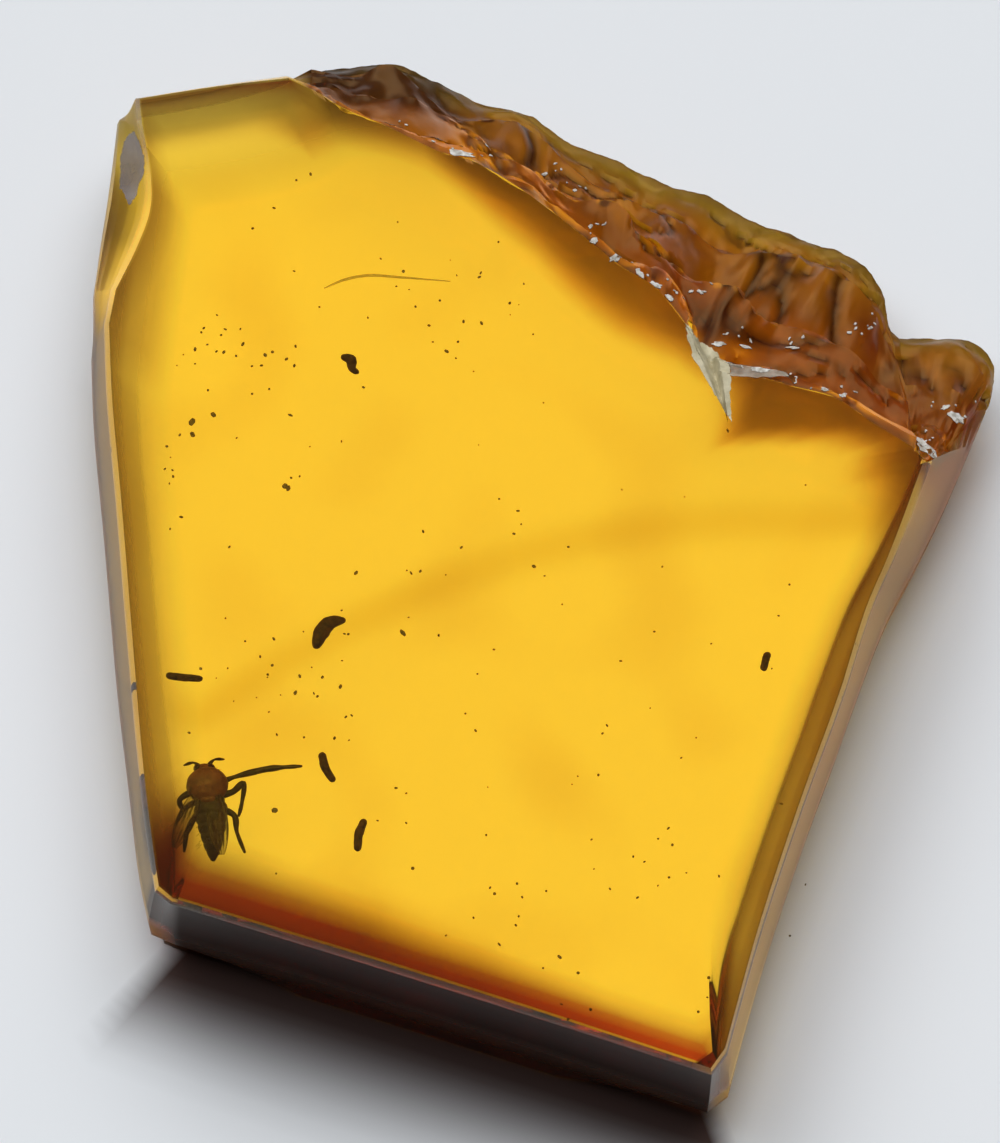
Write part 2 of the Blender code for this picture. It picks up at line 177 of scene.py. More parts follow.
# Each leg or feeler is a run of joints with its thickness there
FLY_LEGS = (
    (((0.35, 0.1, -0.1), 0.11), ((0.85, 0.3, 0.0), 0.08), ((1.75, 0.52, 0.1), 0.12),
     ((2.4, 0.6, 0.12), 0.08), ((2.95, 0.64, 0.1), 0.05)),
    (((0.3, -0.3, -0.15), 0.1), ((0.8, -0.2, 0.0), 0.12), ((1.15, 0.1, 0.05), 0.08),
     ((1.1, -0.5, -0.1), 0.07), ((1.0, -0.95, -0.2), 0.05)),
    (((0.3, -0.7, -0.15), 0.1), ((0.85, -0.95, -0.1), 0.11), ((0.95, -1.5, -0.2), 0.07),
     ((1.2, -2.15, -0.25), 0.05)),
    (((-0.35, -0.1, -0.1), 0.1), ((-0.85, -0.45, 0.0), 0.1), ((-0.75, -0.75, -0.3), 0.06)),
    (((-0.3, -0.45, -0.2), 0.1), ((-0.7, -0.7, -0.25), 0.09), ((-0.95, -1.15, -0.3), 0.05)),
    (((-0.25, -0.8, -0.2), 0.1), ((-0.6, -1.4, -0.3), 0.09), ((-0.7, -2.1, -0.35), 0.05)),
)
FLY_FEELERS = (
    (((-0.2, 0.65, -0.15), 0.06), ((-0.45, 0.85, -0.3), 0.05), ((-0.75, 0.8, -0.45), 0.04)),
    (((0.0, 0.7, -0.15), 0.06), ((0.2, 0.95, -0.3), 0.05), ((0.5, 1.0, -0.45), 0.04)),
)
# The abdomen's middle line and its half width and half height there
FLY_ABDOMEN = (
    ((0.05, -0.3, 0.0), 0.42, 0.36), ((0.12, -0.75, 0.0), 0.53, 0.42), ((0.16, -1.2, -0.01), 0.48, 0.38),
    ((0.19, -1.65, -0.03), 0.38, 0.31), ((0.21, -2.05, -0.04), 0.27, 0.24), ((0.22, -2.4, -0.05), 0.12, 0.12),
)
ABDOMEN_SEGMENTS = 7
ABDOMEN_STEPS = 56
SEGMENT_DEPTH = 0.07
# The thorax, the plate behind it, the head and the mouth: middle, half sizes and steps round and along
THORAX_PARTS = (
    ((0.0, 0.0, 0.08), (0.66, 0.62, 0.52), 40, 26), ((0.05, -0.5, 0.3), (0.26, 0.18, 0.14), 20, 12),
    ((-0.1, 0.52, -0.12), (0.3, 0.26, 0.27), 24, 16), ((-0.12, 0.62, -0.34), (0.09, 0.08, 0.16), 12, 8),
)
# The furrow across the thorax: its place, half width and depth, and how far the thorax is uneven
FURROW_PLACE = -0.22
FURROW_WIDTH = 0.07
FURROW_DEPTH = 0.05
THORAX_UNEVEN = 0.02
# The two eyes, given as the parts of the thorax are
EYES = (((-0.3, 0.6, -0.08), (0.15, 0.16, 0.19), 20, 14), ((0.1, 0.6, -0.08), (0.15, 0.16, 0.19), 20, 14))
# Each wing: its hinge, its length, its width, its turn from -Y and its tilt
Wing = namedtuple("Wing", "name hinge length width turn tilt")
FLY_WINGS = (
    Wing("fly_wing_left", (-0.35, -0.4, 0.3), 1.85, 0.62, -0.35, -0.12),
    Wing("fly_wing_right", (0.25, -0.4, 0.38), 2.0, 0.66, 0.12, 0.1),
)
WING_THICKNESS = 0.012
# How long the bristles are, and how thick at root, middle and tip
BRISTLE_LENGTHS = (0.1, 0.2)
BRISTLE_RADII = (0.008, 0.006, 0.003)

Scrap = namedtuple("Scrap", "name place run")
SCRAPS = (
    Scrap("scrap_curled", (-5.5, -2.6),
          (((-0.3, -0.42), 0.16), ((-0.16, -0.02), 0.26), ((0.1, 0.3), 0.24), ((0.5, 0.4), 0.12))),
    Scrap("scrap_left", (-10.0, -4.15),
          (((-0.45, 0.06), 0.12), ((0.0, 0.0), 0.13), ((0.5, -0.04), 0.11))),
    Scrap("scrap_middle", (-5.45, -7.2),
          (((-0.15, 0.42), 0.13), ((-0.04, 0.0), 0.14), ((0.18, -0.38), 0.11))),
    Scrap("scrap_lower", (-4.4, -9.45),
          (((0.12, 0.45), 0.12), ((-0.02, 0.05), 0.15), ((-0.06, -0.42), 0.12))),
    Scrap("scrap_right", (8.4, -3.6),
          (((-0.06, -0.22), 0.12), ((0.06, 0.22), 0.12))),
    Scrap("scrap_crossed", (-4.8, 6.8),
          (((-0.22, 0.1), 0.12), ((0.0, 0.0), 0.18), ((0.05, -0.3), 0.13), ((0.2, -0.42), 0.08))),
)

# How deep the scraps' bark is uneven
SCRAP_UNEVEN = 0.02

# Clusters of grains: middle, spread, how many, and the largest radius
Cluster = namedtuple("Cluster", "middle spread count radius")
GRAIN_CLUSTERS = (
    Cluster((-9.2, 5.7), 0.03, 1, 0.11),
    Cluster((-9.9, 4.8), 0.05, 2, 0.1),
    Cluster((-6.9, 3.0), 0.06, 2, 0.09),
    Cluster((-7.0, -9.0), 0.02, 1, 0.13),
    Cluster((-3.1, -2.4), 0.02, 1, 0.09),
    Cluster((-8.7, 6.8), 1.0, 26, 0.05),
    Cluster((-10.8, 3.2), 0.7, 16, 0.045),
    Cluster((-1.4, 8.4), 1.3, 16, 0.05),
    Cluster((-5.6, -3.9), 0.7, 9, 0.05),
    Cluster((-7.8, -4.5), 0.9, 12, 0.045),
    Cluster((4.6, -9.6), 1.1, 12, 0.04),
    Cluster((0.0, -11.2), 1.0, 8, 0.06),
    Cluster((-1.2, 0.3), 1.6, 8, 0.05),
    Cluster((6.2, -13.8), 0.6, 3, 0.05),
    Cluster((1.5, -14.2), 1.2, 6, 0.05),
    Cluster((-4.0, 11.0), 2.6, 18, 0.04),
    Cluster((0.0, -3.0), 7.5, 90, 0.04),
)
GRAIN_HEIGHTS = (1.2, 5.7)
# How far back a sealed thing seems to lie for each millimetre of amber above it
REFRACTION_LIFT = 0.12

HAIRLINE = ((-5.65, 9.0), (-5.0, 9.3), (-4.2, 9.45), (-3.2, 9.38), (-1.6, 9.24))
HAIRLINE_RADII = (0.02, 0.05, 0.055, 0.045, 0.015)
HAIRLINE_HEIGHT = 4.6

# Pale flakes on the broken surface, painted highlights for its small glints: middle, length, width and turn
Flake = namedtuple("Flake", "middle length width turn")
FLAKES = (
    Flake((-3.6, 14.45), 0.5, 0.22, -0.5), Flake((-1.26, 13.3), 0.95, 0.3, -0.12),
    Flake((3.02, 10.15), 0.3, 0.22, 0.4), Flake((3.7, 9.55), 0.5, 0.3, 0.6),
    Flake((4.5, 9.0), 0.45, 0.2, -0.9), Flake((4.97, 8.63), 0.5, 0.26, -0.8),
    Flake((5.45, 8.2), 0.4, 0.2, -0.7), Flake((7.51, 5.85), 0.6, 0.3, -0.3),
    Flake((8.3, 5.65), 0.7, 0.22, 0.0), Flake((9.25, 5.55), 0.95, 0.42, -0.9),
    Flake((10.35, 5.0), 0.35, 0.2, 0.2), Flake((13.72, 3.55), 0.95, 0.35, -0.85),
    Flake((13.5, 3.95), 0.5, 0.25, -1.0), Flake((14.67, 5.12), 0.7, 0.35, -0.6),
    Flake((14.35, 5.5), 0.35, 0.2, 0.3), Flake((7.0, 6.9), 0.5, 0.2, 0.1),
    Flake((7.9, 7.0), 0.5, 0.14, 0.0), Flake((9.4, 7.1), 0.55, 0.12, 0.0),
    Flake((1.46, 13.55), 0.25, 0.12, 0.2), Flake((2.44, 13.0), 0.2, 0.12, 0.5),
    Flake((-0.65, 13.5), 0.2, 0.1, 0.0), Flake((2.92, 11.3), 0.22, 0.12, 1.0),
    Flake((6.45, 8.9), 0.3, 0.14, -0.5), Flake((11.3, 8.1), 0.2, 0.1, 0.0),
    Flake((12.0, 8.4), 0.22, 0.1, 0.7), Flake((10.9, 4.75), 0.22, 0.14, 0.0),
)

# Thin veils seen from above: on the facet that the split shard left, and on the chip's upper part, whose grey
# veil is a painted reflection
SHARD_FILM = ((5.85, 7.4), (6.95, 6.6), (7.35, 5.7), (7.35, 3.85), (6.85, 4.7), (6.15, 6.1))
RESIDUE_FILM = ((7.3, 5.9), (8.2, 5.7), (9.1, 5.75), (9.2, 5.45), (8.2, 5.35), (7.3, 5.4))
CHIP_FILM = ((-12.1, 14.4), (-11.85, 14.3), (-11.5, 13.3), (-11.5, 12.6), (-11.95, 11.7), (-12.3, 12.4),
             (-12.3, 13.6))
# Each film's piece, its corners and its finish
FILMS = (("shard_film", SHARD_FILM, "milky_film"), ("residue_film", RESIDUE_FILM, "pale_film"),
         ("chip_reflection_film", CHIP_FILM, "chip_painted_reflection"))
# How thick a film is, how far it lies off the surface and how ragged its edge is
FILM_THICKNESS = 0.02
FILM_LIFT = 0.015
FILM_RAGGED = 0.12
# How far a flake goes into the surface, how thick it is and how far its middle swells
FLAKE_SINK = 0.02
FLAKE_THICKNESS = 0.07
FLAKE_SWELL = 0.02

# A dull finish: two colours in patches of a size, their roughness, the grain's height, a coat and an alpha
Finish = namedtuple("Finish", "dark light size roughness grain coat alpha", defaults=(0.02, 0.0, 1.0))
FINISHES = {
    "fly_eye": Finish((0.03, 0.006, 0.005), (0.07, 0.012, 0.008), 0.05, (0.15, 0.3), 0.01, 0.5),
    "plant_debris": Finish((0.04, 0.022, 0.014), (0.16, 0.085, 0.04), 0.18, (0.6, 0.85), 0.03),
    "dust_grains": Finish((0.06, 0.035, 0.012), (0.3, 0.18, 0.05), 0.2, (0.7, 0.9), alpha=0.7),
    "hairline_crack": Finish((0.5, 0.32, 0.05), (0.8, 0.55, 0.1), 0.4, (0.5, 0.7), alpha=0.4),
    # Pale flakes: painted highlights that stand for the crust's small glints
    "painted_glints": Finish((0.42, 0.38, 0.32), (0.85, 0.83, 0.78), 0.15, (0.6, 0.9), 0.04),
    "milky_film": Finish((0.44, 0.38, 0.22), (0.74, 0.66, 0.45), 0.45, (0.45, 0.7), alpha=0.9),
    "pale_film": Finish((0.35, 0.28, 0.2), (0.6, 0.54, 0.44), 0.3, (0.6, 0.8), alpha=0.55),
    # A grey veil on the chip: painted reflection of the room around it
    "chip_painted_reflection": Finish((0.2, 0.17, 0.17), (0.34, 0.31, 0.32), 1.2, (0.4, 0.6), alpha=0.6),
}
# The detail of the noise and its low and high ends, for the patches and for the finer grain
PATCH_NOISE = (4.0, 0.35, 0.7)
GRAIN_NOISE = (3.0, 0.3, 0.7)
GRAIN_SHARE = 0.25
GRAIN_STRENGTH = 0.5

# The tints of the clear amber, of the band where two flows met and of the rim, as light passes through; the
# rim's dark red tint is painted shade
CLEAR_TINT = (0.98, 0.95, 0.9)
FLOW_TINT = (0.82, 0.72, 0.45)
RIM_SHADE_COLOUR = (0.22, 0.008, 0.004)
# The masks that change the crust's colour, in order, and what each changes it to
CRUST_TINTS = (("deep", (0.42, 0.1, 0.016)), ("edge", (0.6, 0.42, 0.06)), ("crack", (0.02, 0.003, 0.002)))
SHINE_TINT = (0.7, 0.4, 0.16)
AMBER_IOR = 1.54
CRUST_WEAR = 0.4
FULL_ROUGHNESS = 0.8
# Keeps the least clear colour of the absorption above nothing
ABSORPTION_MARGIN = 1.03
# The band where two flows met: its two ends, its half width, and the heights between which it fades out
FLOW_ENDS = ((-9.5, -4.6), (8.3, 2.1))
FLOW_HALF_WIDTH = 1.3
FLOW_HEIGHTS = (0.5, 0.2)

WING_COLOUR = (0.16, 0.09, 0.05)
VEIN_COLOUR = (0.03, 0.015, 0.01)
VEIN_OPACITY = 0.95
WING_ROUGHNESS = 0.35


class SlabSettings(bpy.types.PropertyGroup):
    edge_bevel: FloatProperty(name="Edge bevel", description="Width of the bevel round the polished face",
                              default=0.00012, min=0.0, unit="LENGTH", precision=5)
    relief: FloatProperty(name="Crust relief", description="Height of the fine relief on the broken edge",
                          default=0.00008, min=0.0, unit="LENGTH", precision=5)
    absorption: FloatVectorProperty(name="Absorption", description="Red, green and blue taken up per metre",
                                    default=(28.0, 88.0, 500.0), size=3)
    crust_colour: FloatVectorProperty(name="Crust", description="Colour of light through the broken crust",
                                      default=(0.72, 0.27, 0.035), size=3, subtype="COLOR", min=0.0, max=1.0)
    # Near-black colour of the painted shade on the front wall, its foot, some edges and the chip
    painted_shade_colour: FloatVectorProperty(name="Painted shade", description="Colour of light through the front wall",
                                     default=(0.001, 0.0003, 0.0002), size=3, subtype="COLOR", min=0.0,
                                     max=1.0)


class FlySettings(bpy.types.PropertyGroup):
    thorax_colour: FloatVectorProperty(name="Thorax", description="Colour of the thorax and head",
                                       default=(0.2, 0.085, 0.075), size=3, subtype="COLOR", min=0.0, max=1.0)
    abdomen_colour: FloatVectorProperty(name="Abdomen", description="Colour of the abdomen",
                                        default=(0.05, 0.04, 0.04), size=3, subtype="COLOR", min=0.0, max=1.0)
    wing_opacity: FloatProperty(name="Wing opacity", description="How far the wings hide what is behind them",
                                default=0.3, min=0.0, max=1.0, subtype="FACTOR")
    bristles: IntProperty(name="Bristles", description="How many bristles the body has", default=90, min=0)


class StageSettings(bpy.types.PropertyGroup):
    camera_height: FloatProperty(name="Camera height", description="Angle of the camera above the table",
                                 default=math.radians(68.0), subtype="ANGLE")
    camera_distance: FloatProperty(name="Camera distance", description="From the camera to the slab",
                                   default=0.23, min=0.01, unit="LENGTH")
    window_light: FloatProperty(name="Window light", description="Strength of the light from behind",
                                default=3.75, min=0.0)
    room_light: FloatProperty(name="Room light", description="Strength of the light from all round",
                              default=0.06, min=0.0)
    under_light: FloatProperty(name="Under light", description="Strength of the soft light below the slab",
                               default=0.82, min=0.0)


def smooth_point(points, share):
    """The point at a share, 0 to 1, of the way along a smooth curve through the points."""
    place = share * (len(points) - 1)
    index = min(int(place), len(points) - 2)
    t = place - index
    before = Vector(points[max(index - 1, 0)])
    start = Vector(points[index])
    end = Vector(points[index + 1])
    after = Vector(points[min(index + 2, len(points) - 1)])
    return 0.5 * (2 * start + (end - before) * t + (2 * before - 5 * start + 4 * end - after) * t ** 2
                  + (3 * start - 3 * end + after - before) * t ** 3)


def ease(value, low, high):
    """0 below low, 1 above high, and a smooth rise between; low may be the larger."""
    t = min(1.0, max(0.0, (value - low) / (high - low)))
    return t * t * (3.0 - 2.0 * t)


def place_offset():
    """What moves the outline's numbers to the CAD frame: both give the outline's middle, seen from above."""
    outline = [smooth_point(line, step / stretch.steps)
               for stretch in STRETCHES for line in (stretch.face, stretch.girdle)
               for step in range(stretch.steps + 1)]
    xs = [point.x for point in outline]
    ys = [point.y for point in outline]
    middle = (LOW + HIGH) * (0.5 / MM)
    return Vector((middle.x - 0.5 * (min(xs) + max(xs)), middle.y - 0.5 * (min(ys) + max(ys)), LOW.z / MM))


OFFSET = place_offset()


def finish_piece(name, bm, material=None, angle=None, slot=None, replaced=()):
    """Make a millimetre bmesh an object in metres, smooth up to an angle in degrees.

    With a slot it rides on its body, and the CAD pieces it replaces are hidden.
    """
    bmesh.ops.recalc_face_normals(bm, faces=bm.faces)
    bmesh.ops.translate(bm, vec=OFFSET, verts=bm.verts)
    bmesh.ops.scale(bm, vec=(MM, MM, MM), verts=bm.verts)
    mesh = bpy.data.meshes.new(name)
    bm.to_mesh(mesh)
    bm.free()
    if material:
        mesh.materials.append(material)
    if angle is not None:
        mesh.shade_smooth()
        mesh.set_sharp_from_angle(angle=math.radians(angle))
    obj = bpy.data.objects.new(name, mesh)
    bpy.context.scene.collection.objects.link(obj)
    if slot:
        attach(obj, BODY)
        if replaced:
            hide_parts(*replaced)
    return obj


def raise_rings(bm, corners, rings, put, closed):
    """Extrude a cap from ring to ring and return the last one; put(vert, ring, corner) places each vertex.

    A closed form keeps its first cap too.
    """
    layer = bm.verts.layers.int.get("corner") or bm.verts.layers.int.new("corner")
    first = bmesh.ops.create_circle(bm, cap_ends=True, segments=corners, radius=1.0)["verts"]
    for corner, vert in enumerate(first):
        vert[layer] = corner
    cap = first[0].link_faces[0]
    for number, ring in enumerate(rings):
        if number:
            raised = bmesh.ops.extrude_face_region(bm, geom=[cap])["geom"]
            if number > 1 or not closed:
                bmesh.ops.delete(bm, geom=[cap], context="FACES_ONLY")
            cap = next(item for item in raised if isinstance(item, bmesh.types.BMFace))
        for vert in cap.verts:
            put(vert, ring, vert[layer])
    return cap


# The small circles that round off a tube's end: how far past it and how wide, as shares of its radius
END_CIRCLES = ((0.5, 0.8), (0.85, 0.4))


def add_run(bm, points, radii, sides, flatten=1.0):
    """Add a closed tube with round ends along points; each radius may be flattened across Z."""
    last = len(points) - 1
    circles = []
    for index, point in enumerate(points):
        ahead = (points[min(index + 1, last)] - points[max(index - 1, 0)]).normalized()
        circles.append((point, ahead, radii[index]))
    start, ahead, radius = circles[0]
    for past, share in END_CIRCLES:
        circles.insert(0, (start - ahead * radius * past, ahead, radius * share))
    end, ahead, radius = circles[-1]
    for past, share in END_CIRCLES:
        circles.append((end + ahead * radius * past, ahead, radius * share))

    def put(vert, circle, corner):
        point, ahead, radius = circle
        angle = math.tau * corner / sides
        rim = ahead.to_track_quat("Z", "Y") @ Vector((math.cos(angle), math.sin(angle), 0.0)) * radius
        rim.z *= flatten
        vert.co = point + rim

    raise_rings(bm, sides, circles, put, closed=True)


def add_smooth_run(bm, run, place, sides, steps, swell=0.0):
    """A tube through a run of (point, radius) pairs, swollen a little between its joints."""
    points = []
    radii = []
    total = steps * (len(run) - 1)
    for step in range(total + 1):
        share = step / total
        points.append(place + smooth_point([Vector(point).to_3d() for point, _ in run], share))
        index = min(int(share * (len(run) - 1)), len(run) - 2)
        t = share * (len(run) - 1) - index
        radius = run[index][1] * (1.0 - t) + run[index + 1][1] * t
        radii.append(radius * (1.0 + swell * math.sin(math.pi * t) ** 2 - 0.5 * swell))
    add_run(bm, points, radii, sides)


def make_group(name, inputs, outputs):
    """A shader node group with named sockets; the inputs are (name, kind, default)."""
    group = bpy.data.node_groups.new(name, "ShaderNodeTree")
    for label, kind, default in inputs:
        socket = group.interface.new_socket(label, in_out="INPUT", socket_type=kind)
        socket.default_value = default
    for label, kind in outputs:
        group.interface.new_socket(label, in_out="OUTPUT", socket_type=kind)
    return group, group.nodes.new("NodeGroupInput"), group.nodes.new("NodeGroupOutput")


def feed(tree, socket, value):
    """Link a socket to another's output, or set its value; a colour is given as three numbers."""
    if isinstance(value, bpy.types.NodeSocket):
        tree.links.new(value, socket)
    else:
        socket.default_value = (*value, 1.0) if socket.type == "RGBA" else value


def feed_inputs(tree, node, **inputs):
    """Feed a node's inputs, each named by a keyword with spaces as underscores."""
    for label, value in inputs.items():
        wanted = label.replace("_", " ")
        feed(tree, next(item for item in node.inputs if item.name == wanted and item.enabled), value)


def add_node(tree, kind, **inputs):
    node = tree.nodes.new(kind)
    feed_inputs(tree, node, **inputs)
    return node


def add_math(tree, operation, *values):
    node = tree.nodes.new("ShaderNodeMath")
    node.operation = operation
    for socket, value in zip(node.inputs, values):
        feed(tree, socket, value)
    return node.outputs["Value"]


def remap(tree, value, smooth=False, **ends):
    """A value moved from one range to another, with the ends named as the node's inputs are."""
    node = add_node(tree, "ShaderNodeMapRange", Value=value, **ends)
    if smooth:
        node.interpolation_type = "SMOOTHSTEP"
    return node.outputs["Result"]


def mix_colour(tree, factor, first, second, blend="MIX"):
    """Blend two colours, each three numbers or a link."""
    node = tree.nodes.new("ShaderNodeMix")
    node.data_type = "RGBA"
    node.blend_type = blend
    sockets = [item for item in node.inputs if item.enabled]
    for socket, value in zip(sockets, (factor, first, second)):
        feed(tree, socket, value)
    return next(item for item in node.outputs if item.enabled)


def mottle_group():
    """Cloudy patches: a mask that rises from Low to High of a noise of a size given in millimetres."""
    name = "Mottle"
    if name in bpy.data.node_groups:
        return bpy.data.node_groups[name]
    inputs = [(label, "NodeSocketFloat", value)
              for label, value in (("Size", 1.0), ("Detail", 3.0), ("Low", 0.4), ("High", 0.6))]
    group, given, result = make_group(name, inputs, (("Mask", "NodeSocketFloat"),))
    where = group.nodes.new("ShaderNodeTexCoord").outputs["Object"]
    scale = add_math(group, "DIVIDE", 1.0 / MM, given.outputs["Size"])
    cloud = add_node(group, "ShaderNodeTexNoise", Vector=where, Scale=scale, Detail=given.outputs["Detail"])
    mask = remap(group, cloud.outputs["Fac"], From_Min=given.outputs["Low"], From_Max=given.outputs["High"])
    group.links.new(mask, result.inputs["Mask"])
    return group


def mottle(tree, size, detail=3.0, low=0.4, high=0.6):
    node = tree.nodes.new("ShaderNodeGroup")
    node.node_tree = mottle_group()
    feed_inputs(tree, node, Size=size, Detail=detail, Low=low, High=high)
    return node.outputs["Mask"]


def add_bump(tree, height, strength, distance):
    bump = add_node(tree, "ShaderNodeBump", Height=height, Strength=strength, Distance=distance * MM)
    return bump.outputs["Normal"]


def start_material(name):
    material = bpy.data.materials.new(name)
    material.use_nodes = True
    return material, material.node_tree, material.node_tree.nodes["Principled BSDF"]


def mesh_mask(tree, name):
    node = tree.nodes.new("ShaderNodeAttribute")
    node.attribute_name = name
    return node.outputs["Fac"]


def flow_mask(tree):
    """A soft band where two flows of resin met, curved from the left wall to the right."""
    (left_x, left_y), (right_x, right_y) = FLOW_ENDS
    where = tree.nodes.new("ShaderNodeTexCoord").outputs["Object"]
    where = add_node(tree, "ShaderNodeSeparateXYZ", Vector=where).outputs
    along = remap(tree, where["X"], From_Min=(left_x + OFFSET.x) * MM, From_Max=(right_x + OFFSET.x) * MM)
    left = add_math(tree, "SUBTRACT", 1.0, along)
    curve = add_math(tree, "SUBTRACT", 1.0, add_math(tree, "POWER", left, 2.0))
    line = remap(tree, curve, To_Min=(left_y + OFFSET.y) * MM, To_Max=(right_y + OFFSET.y) * MM)
    off = add_math(tree, "ABSOLUTE", add_math(tree, "SUBTRACT", where["Y"], line))
    band = remap(tree, off, smooth=True, From_Min=FLOW_HALF_WIDTH * MM, From_Max=0.0)
    low = remap(tree, where["Z"], From_Min=FLOW_HEIGHTS[0] * MM, From_Max=FLOW_HEIGHTS[1] * MM)
    return add_math(tree, "MULTIPLY", band, low)


def amber_material(settings):
    """Clear amber: plain transmission, IOR and absorption, with masks for crust, rim and front wall."""
    material, tree, shader = start_material("clear_amber")
    crust = mesh_mask(tree, "crust")
    colour = mix_colour(tree, flow_mask(tree), CLEAR_TINT, FLOW_TINT)
    # The rim's dark red tint is painted shade along the slab's edges and rounded foot
    colour = mix_colour(tree, mesh_mask(tree, "rim"), colour, RIM_SHADE_COLOUR, "MULTIPLY")
    broken = settings.crust_colour
    for mask, tint in CRUST_TINTS:
        broken = mix_colour(tree, mesh_mask(tree, mask), broken, tint)
    colour = mix_colour(tree, crust, colour, broken)
    # Painted shade: the front wall, its foot, bevels, some edges and the chip are mixed towards near black
    colour = mix_colour(tree, mesh_mask(tree, "sawn"), colour, settings.painted_shade_colour)
    worn = add_math(tree, "ADD", add_math(tree, "MULTIPLY", crust, CRUST_WEAR), mesh_mask(tree, "ground"))
    feed_inputs(tree, shader, Base_Color=colour, Roughness=remap(tree, worn, To_Max=FULL_ROUGHNESS),
                Specular_Tint=SHINE_TINT, Transmission_Weight=1.0, IOR=AMBER_IOR)
    strongest = max(settings.absorption) * ABSORPTION_MARGIN
    volume = add_node(tree, "ShaderNodeVolumeAbsorption", Density=strongest,
                      Color=[1.0 - value / strongest for value in settings.absorption])
    tree.links.new(volume.outputs["Volume"], tree.nodes["Material Output"].inputs["Volume"])
    return material


def dull_material(name, finish=None):
    """A mottled solid finish with a fine grain; without one given, it is looked up by its name."""
    finish = finish or FINISHES[name]
    material, tree, shader = start_material(name)
    patches = mottle(tree, finish.size, *PATCH_NOISE)
    grain = mottle(tree, finish.size * GRAIN_SHARE, *GRAIN_NOISE)
    feed_inputs(tree, shader, Base_Color=mix_colour(tree, patches, finish.dark, finish.light),
                Roughness=remap(tree, patches, To_Min=finish.roughness[0], To_Max=finish.roughness[1]),
                Normal=add_bump(tree, grain, GRAIN_STRENGTH, finish.grain),
                Coat_Weight=finish.coat, Alpha=finish.alpha)
    return material


def wing_material(opacity):
    """A brownish see-through wing, darker and less clear along its veins."""
    material, tree, shader = start_material("fly_wing")
    veins = mesh_mask(tree, "vein")
    feed_inputs(tree, shader, Base_Color=mix_colour(tree, veins, WING_COLOUR, VEIN_COLOUR),
                Alpha=remap(tree, veins, To_Min=opacity, To_Max=VEIN_OPACITY),
                Normal=add_bump(tree, mottle(tree, 0.12), 0.4, 0.01), Roughness=WING_ROUGHNESS)
    return material


def wander(distance, lane):
    """A smooth value between about -1 and 1 that changes along the crust, one lane a ledge."""
    return 2.0 * noise.noise(Vector((distance / LEDGE_WAVELENGTH, LANE_GAP * lane, 0.7)))


def crust_rings(distance):
    """How far out and how far down the crust's rings lie, at a distance along the crust."""
    ledge_drops = [drop * (1.0 + LEDGE_DROP_CHANGE * wander(distance, 10 + lane))
                   for lane, (_, drop) in enumerate(CRUST_LEDGES)]
    slope_drop = 1.0 - sum(ledge_drops)
    rings = []
    down = 0.0
    last_out = 0.0
    for lane, (out, _) in enumerate(CRUST_LEDGES):
        out += LEDGE_WANDER * wander(distance, lane) * (1.0 if lane else 0.5)
        down += slope_drop * (out - last_out)
        rings.append((out, down))
        down += ledge_drops[lane]
        rings.append((out + LEDGE_WIDTH, down))
        last_out = out
    rings.append((1.0, 1.0))
    return rings


def station_rings(wall, face, girdle, height, distance, drawn_in, bevel):
    """The points of one station from the polished face down the wall and under to the foot."""
    top = face
    if wall not in BROKEN_WALLS:
        top = face + (HUB - face).normalized() * bevel
    points = [Vector((top.x, top.y, THICKNESS))]
    shares = crust_rings(distance) if wall == "crust" else WALL_RINGS.get(wall, PLAIN_RINGS)
    for out, down in shares:
        flat = face.lerp(girdle, out)
        point = Vector((flat.x, flat.y, THICKNESS - bevel * (1.0 - down) - down * (THICKNESS - height)))
        if wall in BROKEN_WALLS and out < 1.0:
            lump = 2.0 * noise.noise(point / CRUST_LUMP_SIZE)
            point.z += CRUST_LUMP * lump * min(1.0, LUMP_GROWTH[wall] * out)
        points.append(point)
    for inward, level in UNDERSIDE_RINGS:
        flat = girdle.lerp(HUB, inward * drawn_in)
        points.append(Vector((flat.x, flat.y, level)))
    return points


def fine_column(points):
    """A station's points with steps put in between, each with its place counted in rings."""
    above = Vector((HUB.x, HUB.y, points[0].z))
    column = [(points[0].lerp(above, inward), -inward) for inward in CAP_RINGS]
    column.append((points[0], 0.0))
    for ring, steps in enumerate(RING_STEPS):
        for step in range(1, steps + 1):
            share = step / steps
            column.append((points[ring].lerp(points[ring + 1], share), ring + share))
    column.append((points[-1].lerp(HUB.to_3d(), CAP_RINGS[-1]), FOOT_RING + 1.0))
    return column


def foot_share(stretch, share):
    """How much of the usual way the foot is drawn in at a place along a stretch."""
    start, middle, end = stretch.feet
    if share < 0.5:
        return start + (middle - start) * min(1.0, share / FOOT_BLEND)
    return end + (middle - end) * min(1.0, (1.0 - share) / FOOT_BLEND)


def slab_columns(bevel):
    """For each station round the slab, its wall and its fine column of points."""
    columns = []
    for stretch in STRETCHES:
        distance = 0.0
        last = None
        for step in range(stretch.steps + 1):
            share = step / stretch.steps
            face = smooth_point(stretch.face, share)
            girdle = smooth_point(stretch.girdle, share)
            distance += (girdle - last).length if last else 0.0
            last = girdle
            height = stretch.heights[0] + share * (stretch.heights[1] - stretch.heights[0])
            drawn_in = foot_share(stretch, share)
            rings = station_rings(stretch.wall, face, girdle, height, distance, drawn_in, bevel)
            columns.append((stretch.wall, distance, fine_column(rings)))
    return columns


MASKS = ("crust", "deep", "edge", "crack", "rim", "sawn", "ground")
GIRDLE_RING = 7.0
FOOT_RING = 11.0
# Rings on the two flat faces, as shares of the way to the hub: they keep the shading flat and carry the tint
CAP_RINGS = (0.16, 0.13, 0.1, 0.07, 0.04, 0.02, 0.006)

